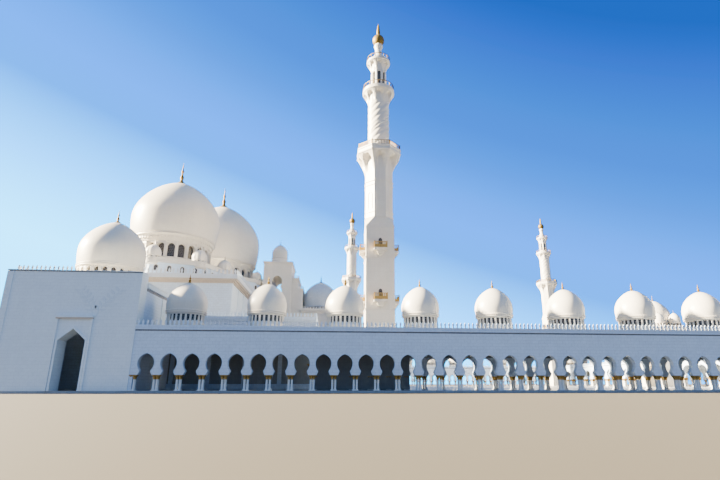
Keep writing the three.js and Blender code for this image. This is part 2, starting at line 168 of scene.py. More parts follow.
def coursing_group():
    """Slab joints in courses on walls that face any way, and a tone for each slab"""
    tree, given, out = group("slab_courses", {"Width": 0.12, "Height": 0.06, "Joint": 0.0012},
                             ["Joints", "Slab Tone"])
    spot = add_node(tree, "SeparateXYZ", {0: add_node(tree, "TexCoord").outputs["Object"]}).outputs
    facing = add_node(tree, "SeparateXYZ", {0: add_node(tree, "NewGeometry").outputs["Normal"]}).outputs
    east_west = math_node(tree, "GREATER_THAN", math_node(tree, "ABSOLUTE", facing["X"]), 0.72)
    level = math_node(tree, "GREATER_THAN", math_node(tree, "ABSOLUTE", facing["Z"]), 0.72)
    run = add_node(tree, "Mix", {"Factor": east_west, "A": spot["X"], "B": spot["Y"]}).outputs["Result"]
    rise = add_node(tree, "Mix", {"Factor": level, "A": spot["Z"], "B": spot["Y"]}).outputs["Result"]
    bricks = add_node(tree, "TexBrick", {
        "Vector": add_node(tree, "CombineXYZ", {"X": run, "Y": rise}).outputs[0],
        "Color1": (0.0, 0.0, 0.0, 1.0), "Color2": (1.0, 1.0, 1.0, 1.0), "Scale": 1.0, "Mortar Smooth": 0.4,
        "Brick Width": given["Width"], "Row Height": given["Height"], "Mortar Size": given["Joint"]}).outputs
    feed(tree, out["Joints"], bricks["Fac"])
    feed(tree, out["Slab Tone"], bricks["Color"])
    return tree


def weather_group():
    """Veins that run through the stone, and streaks and dust that rain and wind leave on it"""
    tree, given, out = group("veins_and_streaks", {"Vein Scale": 9.0, "Streak Scale": 6.0},
                             ["Veins", "Streaks", "Grain"])
    place = add_node(tree, "TexCoord").outputs["Object"]
    veins = add_node(tree, "TexNoise", {"Vector": place, "Scale": given["Vein Scale"], "Detail": 6.0,
                                        "Roughness": 0.62, "Distortion": 1.4}).outputs["Fac"]
    ridge = math_node(tree, "ABSOLUTE", math_node(tree, "SUBTRACT", veins, 0.5))
    thin = add_node(tree, "MapRange", {"Value": ridge, "From Max": 0.05, "To Min": 1.0, "To Max": 0.0})
    drawn = add_node(tree, "Mapping", {"Vector": place, "Scale": (1.0, 1.0, 0.09)}).outputs["Vector"]
    streaks = add_node(tree, "TexNoise", {"Vector": drawn, "Scale": given["Streak Scale"], "Detail": 4.0})
    worn = add_node(tree, "MapRange", {"Value": streaks.outputs["Fac"], "From Min": 0.48, "From Max": 0.78})
    grain = add_node(tree, "TexNoise", {"Vector": place, "Scale": 160.0, "Detail": 3.0})
    feed(tree, out["Veins"], thin.outputs["Result"])
    feed(tree, out["Streaks"], worn.outputs["Result"])
    feed(tree, out["Grain"], grain.outputs["Fac"])
    return tree


slab_courses = coursing_group()
veins_and_streaks = weather_group()


def laid_over(tree, below, colour, mask, share):
    """A thin layer of another colour where a mask shows it, at a share of its strength"""
    return blend_colour(tree, math_node(tree, "MULTIPLY", mask, share), below, colour)


def finish(tree, shader, colour, mask, low, high):
    """Gives a shader its colour, and a roughness that follows a mask from low to high"""
    gloss = add_node(tree, "MapRange", {"Value": mask, "To Min": low, "To Max": high})
    feed(tree, shader.inputs["Base Color"], colour)
    feed(tree, shader.inputs["Roughness"], gloss.outputs["Result"])


def stone(name, light, shade, vein, width=1.2, height=0.6, joint=0.02, roughness=0.42, relief=0.25):
    """A marble: two tones of slab, veins, streaks and joints, sizes in metres of the real building"""
    paint, tree, shader = new_paint(name)
    courses = add_node(tree, "Group", {"Width": width * M, "Height": height * M, "Joint": joint * M},
                       node_tree=slab_courses).outputs
    wear = add_node(tree, "Group", node_tree=veins_and_streaks).outputs
    tone = blend_colour(tree, courses["Slab Tone"], light, shade)
    tone = laid_over(tree, tone, vein, wear["Veins"], 0.35)
    tone = laid_over(tree, tone, [0.82 * value for value in shade], wear["Streaks"], 0.22)
    tone = laid_over(tree, tone, [0.5 * value for value in vein], courses["Joints"], 0.45)
    finish(tree, shader, tone, wear["Grain"], roughness - 0.1, roughness + 0.14)
    dents = math_node(tree, "SUBTRACT", math_node(tree, "MULTIPLY", wear["Grain"], 0.15), courses["Joints"])
    bump = add_node(tree, "Bump", {"Height": dents, "Strength": relief, "Distance": 0.002})
    feed(tree, shader.inputs["Normal"], bump.outputs["Normal"])
    return paint


wall_marble = stone("wall_marble", (0.69, 0.80, 0.93), (0.65, 0.755, 0.88), (0.53, 0.60, 0.68))
dome_marble = stone("dome_marble", (0.80, 0.73, 0.62), (0.77, 0.70, 0.59), (0.68, 0.62, 0.53),
                    width=2.4, height=1.2, joint=0.008, roughness=0.36, relief=0.1)
carved_marble = stone("carved_marble", (0.86, 0.845, 0.81), (0.82, 0.805, 0.77), (0.66, 0.64, 0.61),
                      width=9.0, height=9.0, joint=0.0, roughness=0.4, relief=0.2)
screen_marble = stone("screen_marble", (0.82, 0.90, 0.93), (0.79, 0.87, 0.90), (0.68, 0.75, 0.79),
                      joint=0.01, relief=0.12)
# Warm brown undersides: painted shade under cornices and lintels, warmed as by light bounced off sunlit
# roofs.
soffit_painted_shade = stone("soffit_painted_shade", (0.60, 0.51, 0.42), (0.55, 0.46, 0.38), (0.42, 0.35, 0.28), joint=0.01)
roof_stone = stone("roof_stone", (0.15, 0.13, 0.105), (0.125, 0.11, 0.09), (0.10, 0.085, 0.07),
                   width=1.5, height=1.5, joint=0.04, roughness=0.6)

own_stone = {"hall_low_roof": roof_stone, "block_roof": roof_stone,
             "south_pavilion_screen": screen_marble, "north_pavilion_screen": screen_marble}
for name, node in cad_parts.items():
    for place in node.material_slots:
        place.material = own_stone.get(name, wall_marble)


def real(node):
    """Lowest and highest corner of a CAD node, in metres of the real building"""
    return tuple(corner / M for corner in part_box(node))


def shift(x=0.0, y=0.0, z=0.0):
    return Matrix.Translation((x, y, z))


def turn(bm, profile, steps, x=0.0, y=0.0, phase=0.0):
    """Spins a profile of (radius, height) points round an upright axis"""
    across = Vector((math.cos(phase), math.sin(phase), 0.0))
    rim = [bm.verts.new(Vector((x, y, z)) + radius * across) for radius, z in profile]
    edges = [bm.edges.new(pair) for pair in zip(rim, rim[1:])]
    bmesh.ops.spin(bm, geom=rim + edges, cent=(x, y, 0.0), axis=(0.0, 0.0, 1.0), dvec=(0.0, 0.0, 0.0),
                   angle=2 * math.pi, steps=steps, use_merge=True)


def disc(bm, radius, low, high, steps, x=0.0, y=0.0):
    """A solid round block"""
    turn(bm, [(0, low), (radius, low), (radius, high), (0, high)], steps, x, y)


def hoop(bm, inner, outer, low, high, steps, x=0.0, y=0.0, phase=0.0):
    """A square-edged ring"""
    turn(bm, [(inner, low), (outer, low), (outer, high), (inner, high), (inner, low)], steps, x, y, phase)


def slab(bm, xs, ys, zs):
    """A straight block between two corners"""
    sides = [(min(pair), max(pair)) for pair in (xs, ys, zs)]
    centre = Vector([(low + high) / 2 for low, high in sides])
    size = Matrix.Diagonal([high - low for low, high in sides] + [1.0])
    return bmesh.ops.create_cube(bm, size=1.0, matrix=Matrix.Translation(centre) @ size)["verts"]


def plate(bm, outline, near, far):
    """An upright plate with an outline of (x, z) points, thick from y = near to y = far"""
    face = bm.faces.new([bm.verts.new((x, near, z)) for x, z in outline])
    grown = bmesh.ops.extrude_face_region(bm, geom=[face], use_keep_orig=True)["geom"]
    moved = [item for item in grown if isinstance(item, bmesh.types.BMVert)]
    bmesh.ops.translate(bm, vec=(0.0, far - near, 0.0), verts=moved)


def merged(bm, name):
    """A finished mesh with its doubles merged and its faces turned outwards"""
    bmesh.ops.remove_doubles(bm, verts=bm.verts, dist=0.002)
    bmesh.ops.recalc_face_normals(bm, faces=bm.faces)
    mesh = bpy.data.meshes.new(name)
    bm.to_mesh(mesh)
    bm.free()
    return mesh


def copies(unit, places):
    """One bmesh with a copy of a mesh at each of the places"""
    bm = bmesh.new()
    for place in places:
        start = len(bm.verts)
        bm.from_mesh(unit)
        bm.verts.ensure_lookup_table()
        bmesh.ops.transform(bm, matrix=place, verts=bm.verts[start:])
    return bm


def add(bm, unit, places):
    """Sets a copy of a mesh at each of the places into a bmesh"""
    made = copies(unit, places)
    mesh = bpy.data.meshes.new("joined")
    made.to_mesh(mesh)
    made.free()
    bm.from_mesh(mesh)
    bpy.data.meshes.remove(mesh)


def piece(name, bm, paint, replaced=(), crease=32.0):
    """Sets a bmesh in metres of the real building into the model as a finished piece"""
    bmesh.ops.scale(bm, vec=(M, M, M), verts=bm.verts)
    mesh = bpy.data.meshes.new(name)
    bm.to_mesh(mesh)
    bm.free()
    mesh.materials.append(paint)
    mesh.shade_smooth()
    mesh.set_sharp_from_angle(angle=math.radians(crease))
    thing = bpy.data.objects.new(name, mesh)
    bpy.context.collection.objects.link(thing)
    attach(thing, "root")
    if replaced:
        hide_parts(*replaced)


# Paved floors of the ranges, the court and the hall.
# Large honed slabs of pale marble, laid level on the raised base.
paving = stone("paving", (0.40, 0.40, 0.40), (0.36, 0.36, 0.36), (0.28, 0.28, 0.28),
               width=1.6, height=1.6, joint=0.03, roughness=0.3)
for name in ("south_floor", "north_floor", "middle_floor"):
    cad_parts[name].material_slots[0].material = paving

# Outer arcades of the south, north and east ranges.
# A marble wall on keyhole arches, each with a thin raised rim; under each pier stand four slender
# columns with gilt palm capitals. A dark grey strip of painted shadow under a ledge, a plain band
# and a row of pointed merlons end it.
FLOOR = 0.45
ROOF = 10.75
BAND_TOP = 11.7
# The dark grey line is painted shadow under the ledge above it.
SHADOW_STRIP_Z = 10.88  # height of the grey line
WALL = 1.0
PITCH = 3.875
MERLON_STEP = PITCH / 5
FRONT_BAYS = 52
EAST_BAYS = 56
FIRST_DOME = -72.6
FIRST_BAY = FIRST_DOME - 1.5 * PITCH
FRONT_END = FIRST_BAY + FRONT_BAYS * PITCH
RANGE_WEST = real("south_front_arcade_1")[0].x
EAST = real("east_roof")[1].x + WALL
SOUTH = -real("south_front_arcade_1")[0].y
CAPITAL_FOOT = 2.37
CAPITAL_TOP = 3.15
COLUMN_BLOCK = 0.12


def keyhole(wide=1.0, tall=1.0, base=FLOOR, jambs=False):
    """Half of a keyhole arch: narrow neck over the capitals, round head, pointed tip, as (x, z) points"""
    neck, head, centre, apex = 0.93, 1.43, 5.23, 6.85
    start = math.acos(neck / head)
    points = [(1.2, CAPITAL_TOP), (1.12, 3.36), (0.99, 3.62)]
    if jambs:
        points = [(1.4, FLOOR), (1.4, 2.4), (1.3, 2.85)] + points
    for i in range(7):
        angle = start * (i / 6 - 1)
        points.append((head * math.cos(angle), centre + 1.83 * math.sin(angle)))
    for i in range(1, 8):
        angle = math.pi / 2 * i / 8
        lift = 1 + ((apex - centre) / head - 1) * (i / 8) ** 3
        points.append((head * math.cos(angle), centre + head * math.sin(angle) * lift))
    points.append((0.0, apex))
    return [(x * wide, base + (z - FLOOR) * tall) for x, z in points]


def both_sides(half):
    """The whole outline of an opening, up its left side and down its right"""
    return [(-x, z) for x, z in half] + [(x, z) for x, z in reversed(half[:-1])]


def bay(half, pitch, top, deep):
    """One bay of wall over and beside its arch"""
    foot = half[0][1]
    bm = bmesh.new()
    corners = [(-pitch / 2, foot), (-pitch / 2, top), (pitch / 2, top), (pitch / 2, foot)]
    plate(bm, both_sides(half)[::-1] + corners, 0.0, deep)
    return merged(bm, "bay")


def rim(half, wide, proud):
    """The raised moulding round an arch"""
    inner = both_sides(half)
    outer = []
    for before, (x, z), after in zip(inner[:1] + inner, inner, inner[1:] + inner[-1:]):
        run, rise = after[0] - before[0], after[1] - before[1]
        length = math.hypot(run, rise)
        outer.append((x - wide * rise / length, z + wide * run / length))
    bm = bmesh.new()
    plate(bm, inner + outer[::-1], 0.02, -proud)
    return merged(bm, "rim")


def merlon(tall, wide, thick):
    """One pointed merlon with a waist, standing at height 0"""
    half = [(0.36, 0.0), (0.28, 0.26), (0.5, 0.5), (0.38, 0.72)]
    bm = bmesh.new()
    plate(bm, both_sides([(x * wide, z * tall) for x, z in half] + [(0.0, tall)]), -thick / 2, thick / 2)
    return merged(bm, "merlon")


def column(tall, radius, sides=8):
    """A slender column with a moulded base, standing at height 0"""
    bm = bmesh.new()
    turn(bm, [(0.0, 0.0), (1.5 * radius, 0.0), (1.45 * radius, 0.5 * radius), (radius, 1.2 * radius),
              (0.94 * radius, tall), (0.0, tall)], sides)
    return merged(bm, "column")


def capital(radius, tall, sides=8):
    """A palm capital that opens upwards, with a square block on it"""
    bm = bmesh.new()
    turn(bm, [(0.0, 0.0), (1.3 * radius, 0.03 * tall), (1.05 * radius, 0.14 * tall),
              (1.35 * radius, 0.5 * tall), (2.3 * radius, 0.84 * tall), (0.0, 0.88 * tall)], sides)
    slab(bm, (-2.1 * radius, 2.1 * radius), (-2.1 * radius, 2.1 * radius), (0.86 * tall, tall))
    return merged(bm, "capital")


def wall_at(x, y, degrees):
    """Where a wall starts: local x runs along it, left to right from outside, and local y into it"""
    return shift(x, y) @ Matrix.Rotation(math.radians(degrees), 4, "Z")


def along(wall, first, step, count, y=0.0, z=0.0):
    return [wall @ shift(first + i * step, y, z) for i in range(count)]


def strip(bm, wall, xs, ys, zs):
    """A straight moulding on a wall"""
    bmesh.ops.transform(bm, matrix=wall, verts=slab(bm, xs, ys, zs))


def bands(bm, wall, xs, tiers):
    """Mouldings along a wall in tiers of (low, high, reach)"""
    for low, high, out in tiers:
        strip(bm, wall, xs, (-out, 0.0), (low, high))


def crest(bm, wall, length, z, tall=1.0, step=MERLON_STEP):
    """A row of merlons along the top of a wall"""
    count = max(2, round(length / step))
    gap = length / count
    add(bm, merlon(tall, 0.5 * step, 0.16), along(wall, gap / 2, gap, count, 0.1, z))


def gilding(name, colour, roughness):
    """Gold leaf over bronze, worn darker in patches and streaks"""
    paint, tree, shader = new_paint(name)
    shader.inputs["Metallic"].default_value = 0.85
    wear = add_node(tree, "Group", {"Streak Scale": 30.0}, node_tree=veins_and_streaks).outputs
    tone = blend_colour(tree, wear["Grain"], colour, [0.6 * value for value in colour])
    worn = laid_over(tree, tone, (0.18, 0.12, 0.05), wear["Streaks"], 0.35)
    finish(tree, shader, worn, wear["Grain"], roughness, roughness + 0.25)
    return paint


# Two copies of one gilding: the finials' gold is darker for parts in sun, and the capitals' and balconies'
# gold is brighter, painted light for gilding that stands in shade.
gold = gilding("gold_leaf", (0.30, 0.19, 0.045), 0.5)
bronze = gilding("dark_bronze", (0.24, 0.16, 0.07), 0.45)
gold_brightened_for_shade = gilding("gold_brightened_for_shade", (0.66, 0.42, 0.12), 0.42)
# A dark grey colour for painted shadow lines, laid in strips under ledges and cornices.
grey_inlay = stone("grey_inlay", (0.16, 0.165, 0.18), (0.12, 0.125, 0.14), (0.3, 0.3, 0.31), joint=0.01)


def arcade(name, wall, count, pitch, nodes, wide=1.0, tall=1.0, top=BAND_TOP, shadow_strip_z=SHADOW_STRIP_Z, reach=(0.0, 0.0)):
    """An arcaded wall of equal bays with its columns; reach is plain wall beyond its first and last bay"""
    length = count * pitch
    centres = along(wall, pitch / 2, pitch, count)
    half = keyhole(wide, tall)
    bm = copies(bay(half, pitch, top, WALL), centres)
    add(bm, rim(half, 0.14 * wide, 0.07), centres)
    for xs in ((-reach[0], 0.0), (length, length + reach[1])):
        if xs[0] < xs[1]:
            strip(bm, wall, xs, (0.0, WALL), (FLOOR, top))
    ends = (-reach[0], length + reach[1])
    bands(bm, wall, ends, [(shadow_strip_z + 0.12, shadow_strip_z + 0.34, 0.18), (top - 0.14, top, 0.1)])
    strip(bm, wall, ends, (-0.1, 0.4), (top, top + 0.1))
    crest(bm, wall @ shift(ends[0]), ends[1] - ends[0], top + 0.1)
    piece(name + "_wall", bm, wall_marble, replaced=nodes)

    bm = bmesh.new()
    # A dark strip of painted shadow just under the projecting ledge.
    strip(bm, wall, ends, (-0.03, 0.01), (shadow_strip_z - 0.16, shadow_strip_z + 0.1))
    piece(name + "_inlay", bm, grey_inlay)

    foot, head = FLOOR + (CAPITAL_FOOT - FLOOR) * tall, half[0][1]
    slim, spread = 0.17 * wide, 0.27 * wide
    piers = along(wall, 0.0, pitch, count + 1, y=WALL / 2)
    spots = [pier @ shift(x, y) for pier in piers for x in (-spread, spread) for y in (-spread, spread)]
    shaft = column(foot - FLOOR - COLUMN_BLOCK, slim)
    bm = copies(shaft, [spot @ shift(z=FLOOR + COLUMN_BLOCK) for spot in spots])
    block = (-2.2 * spread, 2.2 * spread)
    for pier in piers:
        strip(bm, pier, block, block, (FLOOR, FLOOR + COLUMN_BLOCK))
    piece(name + "_columns", bm, carved_marble)
    tops = copies(capital(slim, head - foot), [spot @ shift(z=foot) for spot in spots])
    piece(name + "_capitals", tops, gold_brightened_for_shade, crease=50.0)


def segments(side):
    return [f"{side}_front_arcade_{i}" for i in range(1, 5)]


front_ends = (FIRST_BAY - RANGE_WEST, EAST - FRONT_END)
arcade("south_front", wall_at(FIRST_BAY, -SOUTH, 0), FRONT_BAYS, PITCH, segments("south"), reach=front_ends)
arcade("north_front", wall_at(FRONT_END, SOUTH, 180), FRONT_BAYS, PITCH, segments("north"),
       reach=front_ends[::-1])
arcade("east_front", wall_at(EAST, -SOUTH + WALL, 90), EAST_BAYS, 2 * (SOUTH - WALL) / EAST_BAYS,
       segments("east"))

# Court arcades of the ranges and of the prayer hall.
# The same keyhole arches along the side ranges, and twice as wide on taller columns under the east
# range; the hall's row is taller again, under the higher wall of the hall.
COURT_SOUTH = -real("south_court_arcade")[0].y
COURT_EAST = real("south_court_arcade")[1].x
HALL_FRONT = real("hall_front_arcade_south")[1].x
HALL_SOUTH = -real("hall_south_wall")[0].y
GATE_HALF = real("east_gate")[1].y
PORCH_HALF = real("portal_porch")[1].y
LOW_TOP = real("hall_south_wall")[1].z
COURT_BAYS = 38
SIDE_BAYS = 12
HALL_BAYS = 11
COURT_FROM = FIRST_BAY + 8 * PITCH
COURT_TO = COURT_FROM + COURT_BAYS * PITCH
court_ends = (COURT_FROM - HALL_FRONT, COURT_EAST - COURT_TO)
arcade("south_court", wall_at(COURT_TO, -COURT_SOUTH + WALL, 180), COURT_BAYS, PITCH, ["south_court_arcade"],
       reach=court_ends[::-1])
arcade("north_court", wall_at(COURT_FROM, COURT_SOUTH - WALL, 0), COURT_BAYS, PITCH, ["north_court_arcade"],
       reach=court_ends)
side_pitch = (COURT_SOUTH - GATE_HALF) / SIDE_BAYS
for half, start in (("south", -GATE_HALF), ("north", COURT_SOUTH)):
    arcade(f"east_court_{half}", wall_at(COURT_EAST, start, -90), SIDE_BAYS, side_pitch,
           [f"east_court_arcade_{half}"], 2, 1.35)
hall_pitch = (HALL_SOUTH - WALL - PORCH_HALF) / HALL_BAYS
for half, start in (("south", -HALL_SOUTH + WALL), ("north", PORCH_HALF)):
    arcade(f"hall_front_{half}", wall_at(HALL_FRONT, start, 90), HALL_BAYS, hall_pitch,
           [f"hall_front_arcade_{half}"], 2, 2, LOW_TOP, LOW_TOP - 1.2)

# Painted shade inside the side ranges.
# Dark panels of painted shade face the ceiling and the inner wall, and a dark sheet of painted shade
# closes the five court arches next to the hall, so the arches before them show deep shade.
PAINTED_SHADE_TOP = 9.93
SHADE_SHEET_HEAD = 7.0
SHADE_SHEET_EAST = -27.4
# Dark grey colour standing in for the deep shade inside the ranges: painted shade.
painted_shade_lining = stone("painted_shade_lining", (0.31, 0.33, 0.33), (0.27, 0.29, 0.29), (0.35, 0.37, 0.38), joint=0.02)
for name, side in (("south", -1), ("north", 1)):
    bm = bmesh.new()
    slab(bm, (RANGE_WEST, EAST - WALL), (side * (SOUTH - WALL - 0.02), side * (COURT_SOUTH + 0.02)),
         (PAINTED_SHADE_TOP, PAINTED_SHADE_TOP + 0.06))
    for xs, face, zs in (((RANGE_WEST, HALL_FRONT), HALL_SOUTH, (FLOOR, PAINTED_SHADE_TOP)),
                         ((HALL_FRONT, EAST - WALL), COURT_SOUTH, (SHADE_SHEET_HEAD, PAINTED_SHADE_TOP)),
                         ((HALL_FRONT, SHADE_SHEET_EAST), COURT_SOUTH, (FLOOR, SHADE_SHEET_HEAD))):
        slab(bm, xs, (side * (face + 0.01), side * (face + 0.06)), zs)
    piece(name + "_range_painted_shade", bm, painted_shade_lining)

# Roofs of the ranges with their rows of small domes.
# Each dome is a smooth marble shell on a drum of short columns with dark glazed slots between
# them, under two mouldings, and ends in a gilt finial.
SMALL_TIP = 21.0


def curve(points, steps):
    """Points along a Bezier curve, without its last one"""
    found = []
    for i in range(steps):
        level = points
        while len(level) > 1:
            level = [tuple(a + i / steps * (b - a) for a, b in zip(p, q)) for p, q in zip(level, level[1:])]
        found.append(level[0])
    return found


def onion(base, belly, ring, tip, steps=12, at=0.33):
    """The outline of an onion dome from its base ring to its tip, widest at a part of its height"""
    rise = tip - ring
    wide = ring + at * rise
    low = curve([(base, ring), (belly, ring + 0.14 * rise), (belly, wide)], max(3, steps // 3))
    high = curve([(belly, wide), (belly, ring + 0.64 * rise), (0.42 * belly, ring + 0.96 * rise),
                  (0.0, tip)], steps)
    return low + high + [(0.0, tip)]


def finial(bm, x, y, foot, tip, radius, sides=12):
    """A gilt spire: a wide flared base, a slender neck with two rings and a spike"""
    outline = [(0, -0.03), (1.5, -0.03), (1.2, 0.03), (0.6, 0.09), (0.36, 0.19), (0.55, 0.26), (0.58, 0.31),
               (0.3, 0.38), (0.24, 0.48), (0.4, 0.54), (0.4, 0.58), (0.18, 0.66), (0.14, 0.8), (0, 1)]
    turn(bm, [(radius * r, foot + (tip - foot) * z) for r, z in outline], sides, x, y)


def ring_of(count, radius, x=0.0, y=0.0, z=0.0, phase=0.0):
    """Places round a drum; local y points inwards"""
    angles = [phase + 2 * math.pi * i / count for i in range(count)]
    return [shift(x + radius * math.cos(angle), y + radius * math.sin(angle), z)
            @ Matrix.Rotation(angle + math.pi / 2, 4, "Z") for angle in angles]


def glazing(name, glass, bars, pitch):
    """Dark glass in a square bronze lattice, reflecting a little of the sky"""
    paint, tree, shader = new_paint(name)
    lattice = add_node(tree, "Group", {"Width": pitch * M, "Height": pitch * M, "Joint": 0.07 * M},
                       node_tree=slab_courses).outputs
    wear = add_node(tree, "Group", node_tree=veins_and_streaks).outputs
    pane = blend_colour(tree, lattice["Slab Tone"], glass, [1.6 * value for value in glass])
    dusty = laid_over(tree, pane, (0.3, 0.28, 0.25), wear["Streaks"], 0.15)
    finish(tree, shader, blend_colour(tree, lattice["Joints"], dusty, bars), lattice["Joints"], 0.12, 0.5)
    return paint


dark_glass = glazing("dark_glass", (0.035, 0.032, 0.032), (0.10, 0.085, 0.07), 0.5)

bm = bmesh.new()
turn(bm, [(0, ROOF - 0.3), (3.55, ROOF - 0.3), (3.55, 12.95), (3.45, 13.08), (3.18, 13.12), (3.18, 14.42),
          (3.5, 14.42), (3.55, 14.6), (3.8, 14.7), (3.82, 14.86), (3.7, 14.92), (3.7, 15.02), (3.87, 15.08),
          (3.87, 15.24)] + onion(3.74, 3.88, 15.28, SMALL_TIP, at=0.23), 40)
small_dome = merged(bm, "small_dome")
small_column = column(1.34, 0.2, 6)
bm = bmesh.new()
disc(bm, 3.27, 13.05, 14.5, 24)
small_glass = merged(bm, "small_glass")
bm = bmesh.new()
finial(bm, 0.0, 0.0, SMALL_TIP - 0.2, 22.8, 0.5, 8)
small_finial = merged(bm, "small_finial")


def range_roof(name, slabs, spots):
    """A flat roof with its domes"""
    bm = bmesh.new()
    for xs, ys in slabs:
        slab(bm, xs, ys, (ROOF - 0.75, ROOF))
    piece(name + "_slab", bm, roof_stone)
    places = [shift(x, y) for x, y in spots]
    bm = copies(small_dome, places)
    add(bm, small_column, [spot for x, y in spots for spot in ring_of(24, 3.32, x, y, 13.1)])
    piece(name + "_domes", bm, dome_marble, replaced=[name])
    piece(name + "_slots", copies(small_glass, places), dark_glass)
    piece(name + "_finials", copies(small_finial, places), gold, crease=60.0)


DOME_Y = SOUTH - 7.25
DOME_X = [FIRST_DOME + 4 * PITCH * i for i in range(13)]
EAST_DOMES = 12
for name, side in (("south_roof", -1), ("north_roof", 1)):
    slabs = [((RANGE_WEST, EAST - WALL), (side * (SOUTH - WALL), side * COURT_SOUTH)),
             ((RANGE_WEST, HALL_FRONT), (side * COURT_SOUTH, side * HALL_SOUTH))]
    range_roof(name, slabs, [(x, side * DOME_Y) for x in DOME_X])
range_roof("east_roof", [((COURT_EAST + WALL, EAST - WALL), (-COURT_SOUTH, COURT_SOUTH))],
           [(DOME_X[-1], COURT_SOUTH * ((2 * i + 1) / EAST_DOMES - 1)) for i in range(EAST_DOMES)])

# East gate, a tall porch in the middle of the east range that stands out into the court.
# A marble block with one great keyhole arch, a cornice and merlons, and a dome with four small
# domes at its corners.
GATE_WEST, GATE_BACK = (corner.x for corner in real("east_gate"))
GATE_TOP = 25.0


def cornice(bm, xs, ys, tiers):
    """Mouldings round a block in tiers of (low, high, reach)"""
    (west, east), (south, north) = xs, ys
    for low, high, out in tiers:
        for across in ((south - out, south), (north, north + out)):
            slab(bm, (west - out, east + out), across, (low, high))
        for across in ((west - out, west), (east, east + out)):
            slab(bm, across, (south, north), (low, high))


def crown(bm, xs, ys, z, tall=1.0, step=MERLON_STEP):
    """Merlons round the top of a block"""
    (west, east), (south, north) = xs, ys
    for wall, length in ((wall_at(west, south, 0), east - west), (wall_at(east, south, 90), north - south),
                         (wall_at(east, north, 180), east - west),
                         (wall_at(west, north, -90), north - south)):
        crest(bm, wall, length, z, tall, step)


def drum_and_dome(stones, glass, golds, x, y, radius, foot, ring, tip, end, count, sides=48):
    """A closed small dome on a drum of columns with dark slots between them"""
    rise = ring - foot
    low, high = foot + 0.25 * rise, ring - 0.22 * rise
    turn(stones, [(0, foot - 0.3), (1.03 * radius, foot - 0.3), (1.03 * radius, low), (0.9 * radius, low),
                  (0.9 * radius, high), (0.98 * radius, high), (1.04 * radius, ring - 0.1 * rise),
                  (1.04 * radius, ring - 0.02)] + onion(0.97 * radius, 1.01 * radius, ring, tip),
         sides, x, y)
    disc(glass, 0.965 * radius, low - 0.02, high + 0.02, sides, x, y)
    slim = 0.3 * math.pi * radius / count
    add(stones, column(high - low, slim, 6), ring_of(count, 0.99 * radius, x, y, low))
    finial(golds, x, y, tip, end, 0.075 * radius)


bm, glass, golds = bmesh.new(), bmesh.new(), bmesh.new()
gate_arch = keyhole(2.6, 2.6, jambs=True)
outer_arch = [(x + 0.75, z + (0.75 if z > 3 else 0.0)) for x, z in gate_arch[:-1]]
outer_arch.append((0.0, gate_arch[-1][1] + 0.8))
facing = [wall_at(GATE_WEST, 0.0, -90)]
add(bm, bay(gate_arch, 2 * GATE_HALF, GATE_TOP, COURT_EAST + WALL - GATE_WEST), facing)
add(bm, rim(gate_arch, 0.5, 0.25), facing)
add(bm, rim(outer_arch, 0.2, 0.12), facing)
slab(bm, (COURT_EAST + WALL, GATE_BACK), (-GATE_HALF, GATE_HALF), (ROOF, GATE_TOP))
gate_plan = ((GATE_WEST, GATE_BACK), (-GATE_HALF, GATE_HALF))
cornice(bm, *gate_plan, [(22.6, 22.9, 0.2), (23.6, 23.9, 0.3), (23.9, 24.3, 0.55), (24.3, GATE_TOP, 0.8)])
crown(bm, *gate_plan, GATE_TOP)
middle = (GATE_WEST + GATE_BACK) / 2
drum_and_dome(bm, glass, golds, middle, 0.0, 6.05, GATE_TOP, 27.6, 37.8, 40.5, 32)
for x in (-3.7, 3.7):
    for y in (-7.2, 7.2):
        drum_and_dome(bm, glass, golds, middle + x, y, 2.3, GATE_TOP, 27.2, 31.4, 32.8, 12, 24)
piece("east_gate_stone", bm, dome_marble, replaced=["east_gate"])
piece("east_gate_slots", glass, dark_glass)
piece("east_gate_finials", golds, gold, crease=60.0)

# Corner pavilions at the west ends of the side ranges.
# A tall plain entrance screen, deep enough for a doorway in a flat frame with a lintel and a faint
# relief above; side walls with a dark strip of painted shadow under their cornice, as under the
# screen's top edge; a roof with a round drum of windows under a dome.
PAVILION_X = -90.7
PAVILION_HALF = 11.7
PAVILION_Y = 102.5
PILASTER_Y = 102.4
PAVILION_ROOF = 18.5
PAVILION_WELL = 3.7
SCREEN_TOP = 21.5
SCREEN_THICK = 2.9
DRUM_RING = 24.8
DRUM_SIDES = 24


def window(half, sill, spring, apex):
    """Half of a pointed window, as (x, z) points"""
    rise = apex - spring
    return [(half, sill), (half, spring)] + [
        (half * math.cos(t) ** 0.9, spring + rise * (0.82 * math.sin(t) + 0.18 * (t / 1.571) ** 2))
        for t in (0.31, 0.63, 0.94, 1.26)] + [(0.0, apex)]


def drum_wall(bm, corner, foot, top, deep, opening, frame_wide, frame_proud, x, y):
    """A ring of flat panels, each with one window, round the point x, y"""
    pitch = 2 * corner * math.sin(math.pi / DRUM_SIDES)
    places = ring_of(DRUM_SIDES, corner * math.cos(math.pi / DRUM_SIDES), x, y)
    add(bm, bay(opening, pitch, top, deep), places)
    add(bm, rim(opening, frame_wide, frame_proud), places)
    half, sill = opening[0]
    for place in places:
        strip(bm, place, (-pitch / 2, pitch / 2), (0.0, deep), (foot, sill))
        strip(bm, place, (-half - frame_wide, half + frame_wide), (-1.6 * frame_proud, 0.0),
              (sill - 0.2, sill))


def shell(base, belly, ring, tip, thick, steps):
    """The outline of a hollow dome: down its outside, across its foot and up its inside"""
    outside = onion(base, belly, ring, tip, steps)
    inside = onion(base - thick, belly - thick, ring, tip - 1.6 * thick, steps // 2)
    return outside[::-1] + inside


